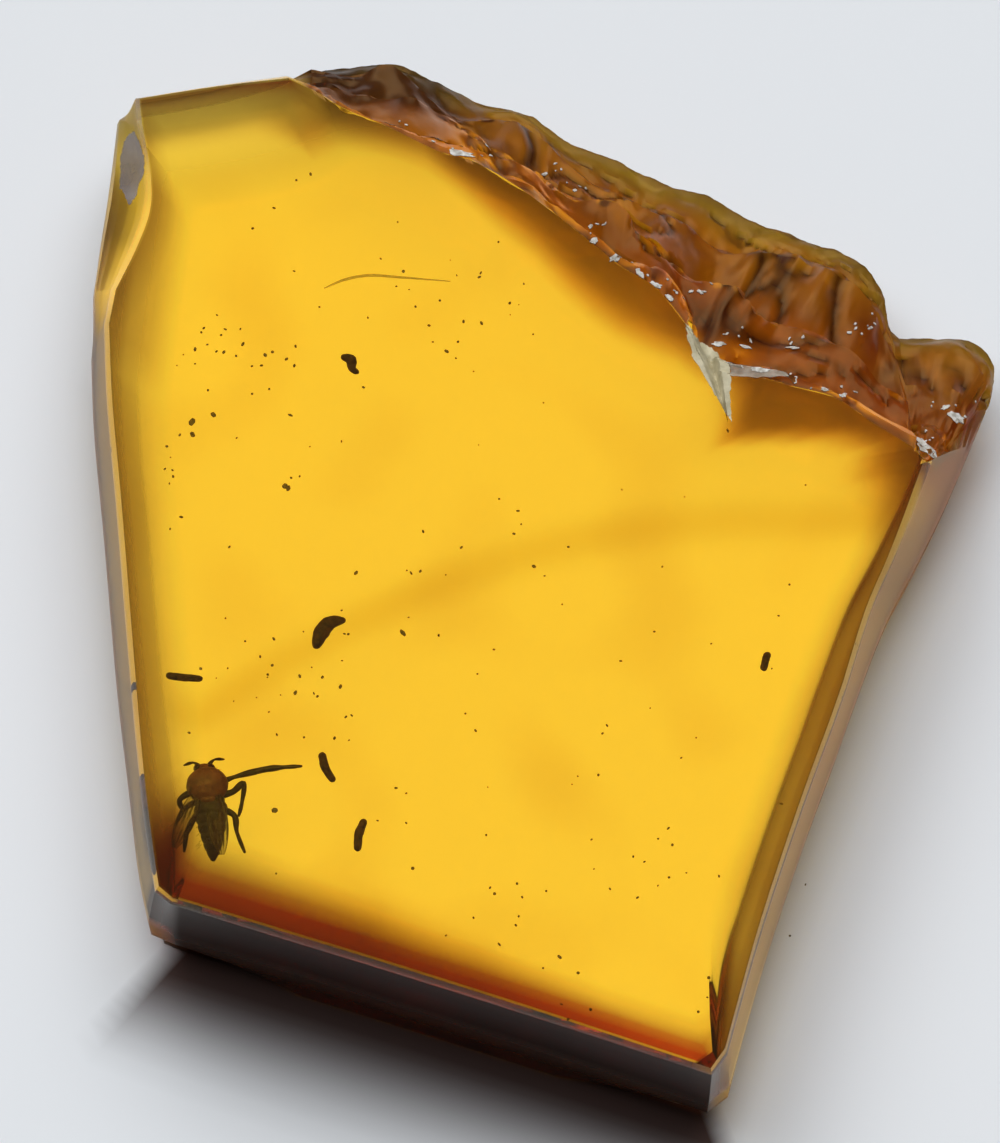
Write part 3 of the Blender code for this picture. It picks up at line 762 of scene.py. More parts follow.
# How strong the rim's painted shade, a dark red tint, is at the polished face's edge, and how far towards the
# hub it reaches
RIM_SHADE = {"front": (1.0, 0.1), "left": (0.36, 0.1), "right": (0.36, 0.1), "back": (0.85, 0.09),
            "chip": (0.6, 0.08), "crust": (0.42, 0.12), "block": (0.65, 0.16)}
# The corner by the fly: where along the front and left walls it starts and is full
FRONT_CORNER = (9.0, 17.0)
LEFT_CORNER = (4.2, 0.8)
# How much further in the rim's painted shade tint reaches there, the share where it is full, and how much
# painted shade darkens the edge there
RIM_SPREAD = 0.07
RIM_CORE = 0.3
CORNER_SHADE = 0.6
# How much painted shade the polished face's edge carries at some other walls
EDGE_SHADE = {"back": 0.45, "chip": 0.15}
# Where along the back wall its painted rim shade grows to full, and the share of that painted shade that its
# foot has
BACK_TINT_GROWTH = (2.0, 5.0)
BACK_FOOT_TINT = 0.2

# How much painted shade each wall carries, the ring where that ends, and how much painted shade its bevel
# carries
WALL_SHADE = {"front": 1.0, "left": 0.8, "right": 0.5, "back": 0.0, "chip": 0.1}
SHADE_END = {"front": 12.0, "left": 7.0, "right": 7.0, "back": 7.0, "chip": 7.0}
BEVEL_SHADE = {"front": 0.75, "left": 0.6, "right": 0.85, "back": 0.3, "chip": 0.6}
CHIP_SHADE = 0.5
# How rough the front wall is beside the others, and the walls beside the rounded foot
FRONT_GROUND = 0.35
WALL_GROUND = 0.5
# How much rougher the underside of the crust is than its top
CRUST_FOOT_GROUND = 0.6

# The rings between which a mask rises to full: the first value is where it is nothing
GROUND_START = (1.0, 1.3)
GROUND_END = (FOOT_RING - 0.3, FOOT_RING - 2.8)
BELOW_GIRDLE = (GIRDLE_RING - 0.2, GIRDLE_RING + 0.4)
FOOT_TINT_START = (GIRDLE_RING + 0.7, GIRDLE_RING + 1.6)
FOOT_TINT_END = (FOOT_RING, FOOT_RING - 1.2)
WALL_START = (0.95, 1.1)
BEVEL_END = (1.2, 1.0)
CHIP_START = (0.5, 1.5)
CHIP_END = (GIRDLE_RING, GIRDLE_RING - 1.0)
CRUST_END = (FOOT_RING, FOOT_RING - 2.0)
CRUST_BRIM = (GIRDLE_RING - 1.0, GIRDLE_RING - 0.1)
CRUST_LINE = (0.35, 0.0)
START_RINGS = (0.5, 2.5)
GRAIN_END = (GIRDLE_RING, GIRDLE_RING - 0.8)
# Where along the chip and the left wall their painted shade changes
CHIP_SHADE_START = (1.2, 2.4)
LEFT_SHADE_END = (1.6, 0.4)
# The crust is darker where it starts: where its deep colour ends, and how dark and from where to where it is
DEEP_START = (6.5, 4.5)
START_SHADES = ((0.85, (2.9, 1.2)), (0.75, (6.0, 4.2)))
# Lengths along the crust and widths across it, in millimetres and rings, of its families of dark lines
GRAIN_LINES = ((4.5, 1.5), (6.5, 2.8))
# How far off its middle such a line fades out, and the noise between which it is broken up and whole
GRAIN_LINE_WIDTH = 0.075
GRAIN_GATE = (-0.3, 0.0)
# How dark the crust's line along the polished face is
CRUST_LINE_SHADE = 0.8

# For each stretch in order, how far in from the widest outline the light below starts and is full
GLOW_FADE = ((-0.8, 1.5), (-1.2, 0.8), (0.2, 2.4), (-0.2, 2.4),
             (-1.5, 1.9), (0.9, 3.4), (-1.2, 2.2), (-0.6, 1.6))
# How much further in it starts at the corner by the fly, and how strong it is under the outer crust
CORNER_FADE = 1.2
CRUST_GLOW = 0.4
# The outer crust is lit from the first to the second distance in from its widest outline
CRUST_GLOW_REACH = (2.2, 0.6)


def crack_mask(point):
    """How near a point is to a fine crack, 0 to 1."""
    flat = point.to_2d()
    wobble = CRACK_WOBBLE * noise.noise(point * 2.3)
    nearest = CRACK_WIDTH
    for line in CRACKS:
        for start, end in zip(line, line[1:]):
            start, end = Vector(start), Vector(end)
            share = min(1.0, max(0.0, (flat - start).dot(end - start) / (end - start).length_squared))
            nearest = min(nearest, (flat - start.lerp(end, share)).length + wobble)
    return ease(nearest, CRACK_WIDTH, CRACK_CORE)


def grain_cracks(distance, ring):
    """Dark lines that run along the crust, broken up, at a place along and across it."""
    line = 0.0
    for lane, (length, width) in enumerate(GRAIN_LINES):
        field = noise.noise(Vector((distance / length, ring / width, 7.0 * lane)))
        gate = ease(noise.noise(Vector((distance / length, ring, 31.0 + lane))), *GRAIN_GATE)
        line = max(line, gate * ease(abs(field), GRAIN_LINE_WIDTH, 0.0))
    return line * ease(ring, *GRAIN_END)


def face_masks(wall, distance, ring):
    """The masks of a point of the polished face, where the rings are counted in shares below zero."""
    reach = RIM_SHADE[wall][1]
    near_corner = 0.0
    core = 0.0
    if wall == "front":
        near_corner = ease(distance, *FRONT_CORNER)
        reach += RIM_SPREAD * near_corner
        core = RIM_CORE * reach
    if wall == "left":
        near_corner = ease(distance, *LEFT_CORNER)
        reach += RIM_SPREAD * near_corner
        core = RIM_CORE * reach * near_corner
    # Both masks here are painted shade along the polished face's edge: a dark red tint and a darker edge
    inside = ease(-ring, reach, core)
    shade = max(CORNER_SHADE * near_corner, EDGE_SHADE.get(wall, 0.0))
    return {"rim": rim_shade_strength(wall, distance) * inside, "sawn": shade * inside}


def rim_shade_strength(wall, distance):
    """How strong the rim's painted shade tint is at a place along a wall."""
    strength = RIM_SHADE[wall][0]
    growth = {"left": LEFT_CORNER, "back": BACK_TINT_GROWTH}.get(wall)
    return strength + (1.0 - strength) * ease(distance, *growth) if growth else strength


def broken_masks(wall, distance, ring, point):
    """The masks of a point of the crust or the block."""
    cloud = noise.fractal(Vector((distance * 0.3, ring * 0.4, 2.0)), 0.9, 2.0, 4)
    deep = ease(cloud, -0.1, 0.6)
    line = CRUST_LINE_SHADE * ease(ring, *CRUST_LINE)
    crack = max(grain_cracks(distance, ring), crack_mask(point), line)
    if wall == "crust":
        deep = max(deep, ease(distance, *DEEP_START))
        start = max(shade * ease(distance, *ends) for shade, ends in START_SHADES)
        crack = max(crack, start * ease(ring, *START_RINGS))
    return {"crust": ease(ring, *CRUST_END), "edge": ease(ring, *CRUST_BRIM), "deep": deep, "crack": crack,
            "ground": CRUST_FOOT_GROUND * ease(ring, *BELOW_GIRDLE) * ease(ring, *GROUND_END)}


def wall_masks(wall, distance, ring):
    """The masks of a point of a plain wall or of the foot below it."""
    # The rim mask is painted shade: a dark red tint on the rounded foot
    tint = rim_shade_strength(wall, distance) * ease(ring, *FOOT_TINT_START) * ease(ring, *FOOT_TINT_END)
    ground = ease(ring, *GROUND_START) * ease(ring, *GROUND_END)
    ground *= WALL_GROUND + (1.0 - WALL_GROUND) * ease(ring, *BELOW_GIRDLE)
    # Painted shade: the wall, its bevel and the chip are darkened towards near black
    shade = WALL_SHADE[wall]
    if wall == "left":
        shade = max(shade, ease(distance, *LEFT_SHADE_END))
    shade *= ease(ring, *WALL_START) * ease(ring, SHADE_END[wall], SHADE_END[wall] - 1.0)
    shade = max(shade, BEVEL_SHADE[wall] * ease(ring, *BEVEL_END))
    if wall == "chip":
        shade = CHIP_SHADE * ease(distance, *CHIP_SHADE_START)
        shade *= ease(ring, *CHIP_START) * ease(ring, *CHIP_END)
    if wall == "back":
        tint *= BACK_FOOT_TINT
    if wall == "front":
        ground *= FRONT_GROUND
    return {"rim": tint, "ground": ground, "sawn": shade}


def surface_masks(wall, distance, ring, point):
    """The masks of one point of the slab, by name; those left out are nothing there."""
    if ring < 0.0:
        return face_masks(wall, distance, ring)
    if wall in BROKEN_WALLS:
        return broken_masks(wall, distance, ring, point)
    return wall_masks(wall, distance, ring)


def loft_slab(bevel):
    """Raise the slab ring by ring from its foot to the polished face, and keep the masks on it."""
    columns = slab_columns(bevel)
    bm = bmesh.new()
    layers = {name: bm.verts.layers.float.new(name) for name in (*MASKS, "along", "ring")}

    def put(vert, level, station):
        wall, distance, column = columns[station]
        vert.co, ring = column[level]
        masks = surface_masks(wall, distance, ring, vert.co)
        for name in MASKS:
            vert[layers[name]] = masks.get(name, 0.0)
        vert[layers["along"]] = distance
        vert[layers["ring"]] = ring

    levels = len(columns[0][2])
    raise_rings(bm, len(columns), range(levels - 1, -1, -1), put, closed=True)
    bmesh.ops.recalc_face_normals(bm, faces=bm.faces)
    return bm, layers


def roughen(bm, layers, relief):
    """Give the broken surface shallow shell-like hollows, fine steps and its cracks."""
    bm.normal_update()
    moves = []
    for vert in bm.verts:
        crust = vert[layers["crust"]]
        if crust > 0.0:
            along = Vector((vert[layers["along"]], vert[layers["ring"]])) * RELIEF_STRETCH
            step = noise.fractal(along.to_3d(), 0.9, 2.1, 5)
            across = along * RIDGE_STRETCH
            ridge = 1.0 - 2.0 * abs(noise.noise(Vector((across.x, across.y, 5.0))))
            groove = CRACK_DEPTH * vert[layers["crack"]]
            moves.append((vert, vert.normal * (crust * (relief * (1.6 * step + ridge - 0.7) - groove))))
    for vert, move in moves:
        vert.co += move


def cut_shard(slab):
    """Split the shard off the finished slab with a wedge-shaped guide."""
    bm = bmesh.new()
    for x, y, z in SHARD_CORNERS:
        bm.verts.new((x, y, z))
        if z == SHARD_CORNERS[0][2]:
            bm.verts.new((x, y, z + 1.0))
    bmesh.ops.convex_hull(bm, input=bm.verts)
    guide = finish_piece("shard_guide", bm)
    cut = slab.modifiers.new("Shard", "BOOLEAN")
    cut.operation = "DIFFERENCE"
    cut.solver = "MANIFOLD"
    cut.object = guide
    evaluated = slab.evaluated_get(bpy.context.evaluated_depsgraph_get())
    mesh = bpy.data.meshes.new_from_object(evaluated)
    slab.modifiers.remove(cut)
    slab.data = mesh
    bpy.data.objects.remove(guide, do_unlink=True)


def add_blob(bm, middle, radii, segments, rings):
    """Add an egg shape at a place counted from the fly's."""
    matrix = Matrix.Translation(FLY_PLACE + Vector(middle)) @ Matrix.Diagonal((*radii, 1.0))
    made = bmesh.ops.create_uvsphere(bm, u_segments=segments, v_segments=rings, radius=1.0, matrix=matrix)
    return made["verts"]


class AMBER_OT_slab(bpy.types.Operator):
    """Build the clear slab with its polished faces, crust, chip and shard"""

    bl_idname = "amber.slab"
    bl_label = "Slab"

    def execute(self, context):
        settings = context.scene.amber_slab
        bm, layers = loft_slab(settings.edge_bevel / MM)
        roughen(bm, layers, settings.relief / MM)
        slab = finish_piece("amber_slab", bm, amber_material(settings), 30, "amber", HALVES)
        cut_shard(slab)
        return {"FINISHED"}


class AMBER_OT_fly(bpy.types.Operator):
    """Build the fly: thorax, head, abdomen, legs, feelers, wings and bristles"""

    bl_idname = "amber.fly"
    bl_label = "Fly"

    def execute(self, context):
        settings = context.scene.amber_fly
        brown = self.chitin("thorax_chitin", settings.thorax_colour, 1.7, 0.3, (0.35, 0.55))
        dark = self.chitin("abdomen_chitin", settings.abdomen_colour, 1.8, 0.25, (0.3, 0.5))
        self.make_thorax(brown)
        self.make_abdomen(dark)
        self.make_limbs(dark)
        self.make_eyes()
        wing = wing_material(settings.wing_opacity)
        for shape in FLY_WINGS:
            self.make_wing(shape, wing)
        self.make_bristles(dark, settings.bristles)
        return {"FINISHED"}

    def chitin(self, name, colour, lighter, size, roughness):
        return dull_material(name, Finish(colour, [value * lighter for value in colour], size, roughness))

    def make_thorax(self, material):
        bm = bmesh.new()
        hump, *_ = [add_blob(bm, *part) for part in THORAX_PARTS]
        for vert in hump:
            across = vert.co - FLY_PLACE
            furrow = ease(abs(across.y - FURROW_PLACE), FURROW_WIDTH, 0.0) * ease(across.z, 0.0, 0.3)
            vert.co -= across * FURROW_DEPTH * furrow
            vert.co += across * THORAX_UNEVEN * noise.noise(vert.co * 4.0)
        finish_piece("fly_thorax", bm, material, 60, "chitin", ("insect",))

    def make_abdomen(self, material):
        bm = bmesh.new()
        points, widths, heights = [], [], []
        for step in range(ABDOMEN_STEPS + 1):
            share = step / ABDOMEN_STEPS
            points.append(FLY_PLACE + smooth_point([row[0] for row in FLY_ABDOMEN], share))
            size = smooth_point([(row[1], row[2]) for row in FLY_ABDOMEN], share)
            ring = 1.0 - SEGMENT_DEPTH * abs(math.cos(math.pi * ABDOMEN_SEGMENTS * share)) ** 8
            widths.append(size.x * ring)
            heights.append(size.y / size.x)
        add_run(bm, points, widths, 32, flatten=sum(heights) / len(heights))
        finish_piece("fly_abdomen", bm, material, 60, "chitin")

    def make_limbs(self, material):
        bm = bmesh.new()
        for leg in FLY_LEGS:
            add_smooth_run(bm, leg, FLY_PLACE, 10, 6, swell=0.25)
        for feeler in FLY_FEELERS:
            add_smooth_run(bm, feeler, FLY_PLACE, 8, 8, swell=0.5)
        finish_piece("fly_limbs", bm, material, 60, "chitin")

    def make_eyes(self):
        bm = bmesh.new()
        for eye in EYES:
            add_blob(bm, *eye)
        finish_piece("fly_eyes", bm, dull_material("fly_eye"), 60, "chitin")

    def make_wing(self, shape, material):
        bm = bmesh.new()
        vein = bm.verts.layers.float.new("vein")
        outline = bmesh.ops.create_grid(bm, x_segments=14, y_segments=28, size=0.5)["verts"]
        matrix = (Matrix.Translation(FLY_PLACE + Vector(shape.hinge)) @ Matrix.Rotation(shape.turn, 4, "Z")
                  @ Matrix.Rotation(shape.tilt, 4, "Y"))
        for vert in outline:
            along = 0.5 - vert.co.y
            across = vert.co.x * 2.0
            swell = math.sin(math.pi * min(1.0, 0.12 + 0.86 * along)) ** 0.7
            width = 0.5 * shape.width * (0.16 + 0.84 * swell)
            lane = abs((across * 2.5 + 0.6 * along) % 1.0 - 0.5)
            rim = ease(abs(across), 0.82, 1.0)
            vert[vein] = max(rim, ease(lane, 0.16, 0.02))
            ripple = 0.012 * math.sin(across * 7.0) + 0.03 * along * along
            vert.co = matrix @ Vector((across * width, -along * shape.length, ripple))
        bmesh.ops.solidify(bm, geom=bm.faces[:], thickness=WING_THICKNESS)
        finish_piece(shape.name, bm, material, 40, "chitin")

    def make_bristles(self, material, count):
        rng = random.Random(11)
        bm = bmesh.new()
        for _ in range(count):
            on_thorax = rng.random() < 0.5
            middle = Vector((0.0, 0.0, 0.08) if on_thorax else (0.15, rng.uniform(-2.2, -0.5), 0.0))
            size = 0.6 if on_thorax else 0.4
            length = 1.0 if on_thorax else 0.3
            out = Vector((rng.gauss(0, 1), rng.gauss(0, 1) * length, abs(rng.gauss(0, 1)))).normalized()
            root = FLY_PLACE + middle + Vector((out.x * size, out.y * size, out.z * size * 0.8))
            lean = (out + Vector((0.0, -0.9, 0.0))).normalized()
            tip = root + lean * rng.uniform(*BRISTLE_LENGTHS)
            add_run(bm, [root, root.lerp(tip, 0.5), tip], BRISTLE_RADII, 4)
        finish_piece("fly_bristles", bm, material, 60, "chitin")


class AMBER_OT_scraps(bpy.types.Operator):
    """Build the plant scraps, one piece each"""

    bl_idname = "amber.scraps"
    bl_label = "Plant scraps"

    def execute(self, context):
        bark = dull_material("plant_debris")
        for scrap in SCRAPS:
            bm = bmesh.new()
            place = Vector((*scrap.place, SEALED_HEIGHT))
            add_smooth_run(bm, scrap.run, place, 16, 10)
            for vert in bm.verts:
                grain = noise.fractal(vert.co * 5.0, 0.9, 2.2, 4)
                vert.co += (vert.co - place).normalized() * SCRAP_UNEVEN * grain
            name = scrap.name.replace("scrap", "debris")
            finish_piece(name, bm, bark, 50, "plant_debris", (scrap.name,))
        return {"FINISHED"}


class AMBER_OT_grains(bpy.types.Operator):
    """Scatter the fine grains in their clusters, and draw the hairline crack"""

    bl_idname = "amber.grains"
    bl_label = "Grains and hairline"

    def execute(self, context):
        rng = random.Random(3)
        bm = bmesh.new()
        for cluster in GRAIN_CLUSTERS:
            for _ in range(cluster.count):
                self.add_grain(bm, rng, cluster)
        finish_piece("dust_grains", bm, dull_material("dust_grains"), None, "plant_debris")
        bm = bmesh.new()
        run = tuple(zip(HAIRLINE, HAIRLINE_RADII))
        add_smooth_run(bm, run, Vector((0.0, 0.0, HAIRLINE_HEIGHT)), 8, 10)
        finish_piece("hairline_crack", bm, dull_material("hairline_crack"), 60, "amber")
        return {"FINISHED"}

    def add_grain(self, bm, rng, cluster):
        depth = rng.uniform(*GRAIN_HEIGHTS)
        lift = REFRACTION_LIFT * (THICKNESS - depth)
        x = rng.gauss(cluster.middle[0], cluster.spread)
        y = rng.gauss(cluster.middle[1] - lift, cluster.spread)
        radius = cluster.radius * rng.uniform(0.6, 1.3)
        turn = Matrix.Rotation(rng.uniform(0, math.tau), 4, "Z")
        turn = turn @ Matrix.Rotation(rng.uniform(0, 1.5), 4, "X")
        size = (radius * rng.uniform(0.8, 1.7), radius, radius * rng.uniform(0.6, 1.0), 1.0)
        inside = x > -11.2 + 0.03 * (y + 12.0) and y > -12.6 - 0.33 * (x + 10.0)
        if inside and x < 11.5 and y < 14.0 - 0.7 * max(0.0, x + 4.0):
            matrix = Matrix.Translation((x, y, depth)) @ turn @ Matrix.Diagonal(size)
            bmesh.ops.create_icosphere(bm, subdivisions=1, radius=1.0, matrix=matrix)


class AMBER_OT_residue(bpy.types.Operator):
    """Lay the pale flakes, painted highlights, on the broken surface, and the thin veils on its facets"""

    bl_idname = "amber.residue"
    bl_label = "Residue"

    def execute(self, context):
        bm = bmesh.new()
        surface = self.slab_surface()
        rng = random.Random(5)
        for flake in FLAKES:
            self.add_flake(bm, surface, rng, flake)
            for _ in range(3):
                beside = Vector(flake.middle) + Vector((rng.gauss(0.2, 0.3), abs(rng.gauss(0.1, 0.3))))
                length, width = rng.uniform(0.06, 0.2), rng.uniform(0.05, 0.12)
                self.add_flake(bm, surface, rng, Flake(beside, length, width, rng.uniform(0, math.tau)))
        finish_piece("glint_flakes", bm, dull_material("painted_glints"), 40, "amber")
        for name, corners, finish in FILMS:
            self.make_film(surface, name, corners, dull_material(finish))
        return {"FINISHED"}

    def drop_onto(self, surface, flat, above):
        """The point a little above the surface at a flat place, or one below the upper face."""
        hit = surface.ray_cast(Vector((flat.x, flat.y, 20.0)), Vector((0.0, 0.0, -1.0)))[0]
        return Vector((flat.x, flat.y, hit.z + above if hit else THICKNESS - 1.0))

    def make_film(self, surface, name, corners, material):
        """A thin veil with a ragged edge that lies on the facet within the given corners."""
        bm = bmesh.new()
        bm.faces.new([bm.verts.new((x, y, THICKNESS)) for x, y in corners])
        bmesh.ops.triangulate(bm, faces=bm.faces[:])
        bmesh.ops.subdivide_edges(bm, edges=bm.edges[:], cuts=24, use_grid_fill=True)
        middle = sum((Vector(corner) for corner in corners), Vector((0.0, 0.0))) / len(corners)
        for vert in bm.verts:
            ragged = FILM_RAGGED * noise.fractal(vert.co * 3.0, 0.8, 2.0, 4)
            flat = vert.co.to_2d() + (vert.co.to_2d() - middle) * ragged
            vert.co = self.drop_onto(surface, flat, FILM_LIFT)
        bmesh.ops.solidify(bm, geom=bm.faces[:], thickness=FILM_THICKNESS)
        finish_piece(name, bm, material, 40, "amber")

    def slab_surface(self):
        """The finished slab's surface, in millimetres from the outline's own zero."""
        bm = bmesh.new()
        bm.from_mesh(bpy.data.objects["amber_slab"].data)
        bmesh.ops.scale(bm, vec=(1.0 / MM,) * 3, verts=bm.verts)
        bmesh.ops.translate(bm, vec=-OFFSET, verts=bm.verts)
        surface = BVHTree.FromBMesh(bm)
        bm.free()
        return surface

    def add_flake(self, bm, surface, rng, flake):
        """An irregular thin plate pressed onto the surface, point by point."""
        edge = bmesh.ops.create_circle(bm, cap_ends=True, segments=14, radius=1.0)["verts"]
        face = edge[0].link_faces[0]
        for vert in edge:
            ragged = rng.uniform(0.6, 1.1)
            flat = Vector((vert.co.x * 0.5 * flake.length, vert.co.y * 0.5 * flake.width)) * ragged
            flat.rotate(Matrix.Rotation(flake.turn, 2))
            flat += Vector(flake.middle)
            vert.co = self.drop_onto(surface, flat, 0.0)
            vert.co.z -= FLAKE_SINK
        raised = bmesh.ops.extrude_face_region(bm, geom=[face])["geom"]
        for item in raised:
            if isinstance(item, bmesh.types.BMVert):
                item.co.z += FLAKE_THICKNESS
        top = next(item for item in raised if isinstance(item, bmesh.types.BMFace))
        middle = bmesh.ops.poke(bm, faces=[top])["verts"][0]
        middle.co.z += FLAKE_SWELL


# The soft light above and behind: its middle, and the cosines from it of its rim and of its full part
WINDOW_WAY = (-0.08, 0.38, 0.92)
WINDOW_EDGES = (0.7, 0.98)
# The part of the sky that the polished face mirrors to the camera is dimmer
DIM_WAY = (0.0, 0.37, 0.93)
DIM_EDGES = (0.97, 0.988)
DIM_SHARE = 0.85
GLOW_SHARES = tuple(0.97 - 0.03 * step for step in range(30))
# How deep the painted shade on the paper is at each wall's foot, how far out it reaches and where it is full
FOOT_SHADE = {"front": (1.0, 4.4, 0.2), "right": (0.5, 1.6, -1.0), "left": (0.3, 1.2, -1.0),
              "block": (0.3, 1.6, -1.0), "chip": (0.15, 1.2, -1.0)}
NO_SHADE = (0.0, 1.0, 0.0)
# How deep the painted shade on the paper is right under the slab, and how far out it starts and is full
UNDER_SHADE = 0.95
UNDER_SHADE_GAPS = (0.0, -1.2)
SHADE_GAPS = (-1.6, -1.2, -0.8, -0.4, 0.0, 0.4, 0.8, 1.2, 1.6, 2.0, 2.5, 3.0, 3.7, 4.4, 30.0, 600.0)
GLOW_STEPS = 16
GLOW_BLEND = 6
PAPER_LEVEL = -0.05
PAD_LEVEL = -0.03
PAPER_COLOUR = (0.83, 0.84, 0.855)
# The colour of the painted shade on the paper
SHADE_COLOUR = (0.06, 0.035, 0.03)
PAD_COLOUR = (0.8, 0.81, 0.83)
DIM_GLOW_COLOUR = (1.0, 0.45, 0.2)
ROOM_COLOUR = (0.95, 0.975, 1.0)
# How much the light below wavers, and how many waves there are in a millimetre
GLOW_WAVER = 0.18
GLOW_WAVES = 0.3
# The photograph's scale and height
PIXELS_PER_METRE = 31250.0
PHOTO_HEIGHT = 1143
NEAREST_SEEN = 0.001


class AMBER_OT_stage(bpy.types.Operator):
    """Set the pale paper, the soft light and the camera"""

    bl_idname = "amber.stage"
    bl_label = "Stage"

    def execute(self, context):
        settings = context.scene.amber_stage
        self.make_paper()
        self.make_under_light(settings.under_light)
        self.make_world(context.scene, settings)
        self.make_camera(context.scene, settings)
        context.scene.view_settings.view_transform = "Standard"
        context.scene.cycles.max_bounces = 9
        context.scene.cycles.diffuse_bounces = 2
        return {"FINISHED"}

    def make_paper(self):
        """White paper, with the deep shade at the foot of the slab's walls painted into its colour."""
        bm = bmesh.new()
        shade = bm.verts.layers.float.new("shade")
        outline = [(smooth_point(stretch.girdle, step / GLOW_STEPS), FOOT_SHADE.get(stretch.wall, NO_SHADE))
                   for stretch in STRETCHES for step in range(GLOW_STEPS + 1)]

        def put(vert, gap, corner):
            point, (depth, reach, full) = outline[corner]
            vert.co = (*(point + (point - HUB).normalized() * gap), PAPER_LEVEL)
            under = UNDER_SHADE * ease(gap, *UNDER_SHADE_GAPS)
            vert[shade] = max(depth * ease(gap, reach, full), under)

        raise_rings(bm, len(outline), SHADE_GAPS[::-1], put, closed=False)
        bmesh.ops.remove_doubles(bm, verts=bm.verts, dist=0.001)
        paper, tree, shader = start_material("white_paper")
        shaded = mix_colour(tree, mesh_mask(tree, "shade"), PAPER_COLOUR, SHADE_COLOUR)
        feed_inputs(tree, shader, Base_Color=shaded, Roughness=0.9, Specular_IOR_Level=0.1)
        finish_piece("paper", bm, paper)

    def glow_fades(self):
        """For each step round the slab, its widest outline and its smoothed fade and strength of the glow."""
        girdles, fades = [], []
        for stretch, (low, high) in zip(STRETCHES, GLOW_FADE):
            for step in range(GLOW_STEPS + 1):
                girdle = smooth_point(stretch.girdle, step / GLOW_STEPS)
                face = smooth_point(stretch.face, step / GLOW_STEPS)
                broken = stretch.wall in BROKEN_WALLS
                margin = (girdle - face).length if broken else 0.0
                if stretch.wall == "front":
                    margin = CORNER_FADE * ease(step / GLOW_STEPS, 0.6, 1.0)
                girdles.append(girdle)
                fades.append(Vector((low + margin, high + margin, CRUST_GLOW if broken else 0.0)))
        smoothed = []
        for index in range(len(fades)):
            near = [fades[(index + shift) % len(fades)] for shift in range(-GLOW_BLEND, GLOW_BLEND + 1)]
            smoothed.append(sum(near, Vector((0.0, 0.0, 0.0))) / len(near))
        return list(zip(girdles, smoothed))

    def make_under_light(self, strength):
        """A soft glow on the paper just below the slab, hidden by it, dimmer towards the edges."""
        bm = bmesh.new()
        glow = bm.verts.layers.float.new("glow")
        fades = self.glow_fades()

        def put(vert, share, corner):
            girdle, (low, high, outer) = fades[corner]
            point = girdle.lerp(HUB, 1.0 - share)
            inward = (girdle - point).length
            cloud = 1.0 + GLOW_WAVER * noise.noise(point.to_3d() * GLOW_WAVES)
            vert.co = (*point, PAD_LEVEL)
            vert[glow] = max(ease(inward, low, high), outer * ease(inward, *CRUST_GLOW_REACH)) * cloud

        cap = raise_rings(bm, len(fades), GLOW_SHARES, put, closed=False)
        hub = bmesh.ops.poke(bm, faces=[cap])["verts"][0]
        hub.co = (*HUB, PAD_LEVEL)
        hub[glow] = 1.0
        material, tree, shader = start_material("under_light")
        mask = mesh_mask(tree, "glow")
        feed_inputs(tree, shader, Base_Color=PAD_COLOUR, Emission_Strength=remap(tree, mask, To_Max=strength),
                    Emission_Color=mix_colour(tree, mask, DIM_GLOW_COLOUR, (1.0, 1.0, 1.0)))
        material.cycles.emission_sampling = "NONE"
        pad = finish_piece("under_light", bm, material)
        pad.visible_camera = False

    def make_world(self, scene, settings):
        """A soft light above and behind the slab, and a dim room all round."""
        world = bpy.data.worlds.new("soft_room")
        world.use_nodes = True
        tree = world.node_tree
        way = tree.nodes.new("ShaderNodeTexCoord").outputs["Generated"]
        window = self.add_lobe(tree, way, WINDOW_WAY, WINDOW_EDGES, settings.window_light)
        dim = self.add_lobe(tree, way, DIM_WAY, DIM_EDGES, DIM_SHARE)
        window = add_math(tree, "MULTIPLY", window, add_math(tree, "SUBTRACT", 1.0, dim))
        strength = add_math(tree, "ADD", window, settings.room_light)
        feed_inputs(tree, tree.nodes["Background"], Color=ROOM_COLOUR, Strength=strength)
        scene.world = world

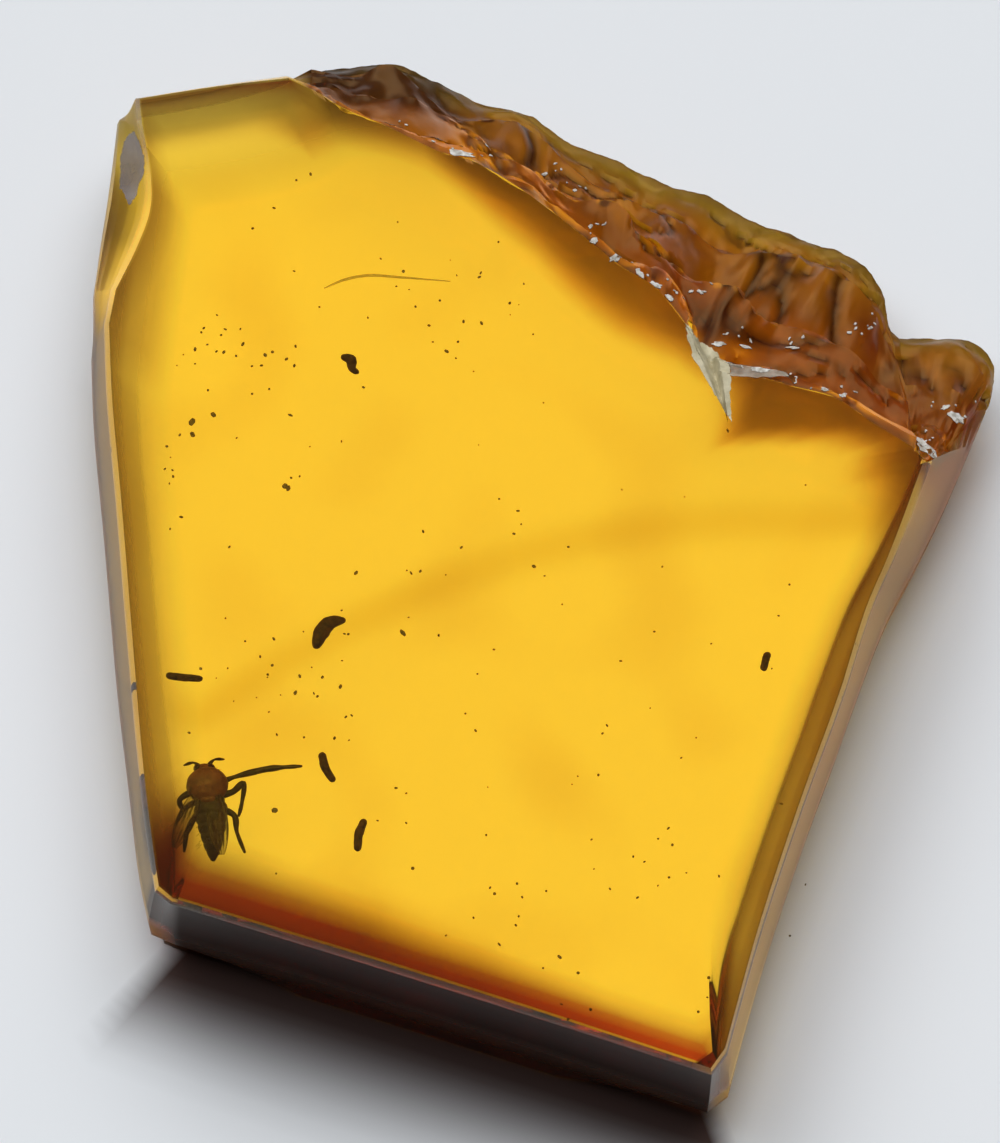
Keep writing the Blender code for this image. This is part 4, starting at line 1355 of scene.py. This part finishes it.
    def add_lobe(self, tree, way, middle, edges, strength):
        """A round soft patch of the sky, nothing at its edge's first cosine and full at the second."""
        dot = tree.nodes.new("ShaderNodeVectorMath")
        dot.operation = "DOT_PRODUCT"
        feed(tree, dot.inputs[0], way)
        feed(tree, dot.inputs[1], Vector(middle).normalized())
        return remap(tree, dot.outputs["Value"], smooth=True, From_Min=edges[0], From_Max=edges[1],
                     To_Max=strength)

    def make_camera(self, scene, settings):
        camera = bpy.data.cameras.new("camera")
        camera.lens = camera.sensor_width * PIXELS_PER_METRE * settings.camera_distance / PHOTO_HEIGHT
        camera.clip_start = NEAREST_SEEN
        obj = bpy.data.objects.new("camera", camera)
        angle = settings.camera_height
        target = (Vector((0.0, 0.0, 0.5 * THICKNESS)) + OFFSET) * MM
        back = Vector((0.0, -math.cos(angle), math.sin(angle)))
        obj.location = target + back * settings.camera_distance
        obj.rotation_euler = (math.radians(90) - angle, 0.0, 0.0)
        scene.collection.objects.link(obj)
        scene.camera = obj


STEPS = (AMBER_OT_slab, AMBER_OT_fly, AMBER_OT_scraps, AMBER_OT_grains, AMBER_OT_residue, AMBER_OT_stage)


class AMBER_PT_sidebar(bpy.types.Panel):
    """Lists the steps and their settings"""

    bl_label = "Fly in amber"
    bl_idname = "AMBER_PT_sidebar"
    bl_space_type = "VIEW_3D"
    bl_region_type = "UI"
    bl_category = "Amber"

    def draw(self, context):
        for step in STEPS:
            self.layout.operator(step.bl_idname)
        for group in (context.scene.amber_slab, context.scene.amber_fly, context.scene.amber_stage):
            box = self.layout.box()
            for name in group.__annotations__:
                box.prop(group, name)


CLASSES = (SlabSettings, FlySettings, StageSettings, *STEPS, AMBER_PT_sidebar)


def register():
    for item in CLASSES:
        bpy.utils.register_class(item)
    bpy.types.Scene.amber_slab = PointerProperty(type=SlabSettings)
    bpy.types.Scene.amber_fly = PointerProperty(type=FlySettings)
    bpy.types.Scene.amber_stage = PointerProperty(type=StageSettings)


def unregister():
    del bpy.types.Scene.amber_stage
    del bpy.types.Scene.amber_fly
    del bpy.types.Scene.amber_slab
    for item in reversed(CLASSES):
        bpy.utils.unregister_class(item)


def main():
    register()
    bpy.ops.amber.slab()
    bpy.ops.amber.fly()
    bpy.ops.amber.scraps()
    bpy.ops.amber.grains()
    bpy.ops.amber.residue()
    bpy.ops.amber.stage()


if __name__ == "__main__":
    main()
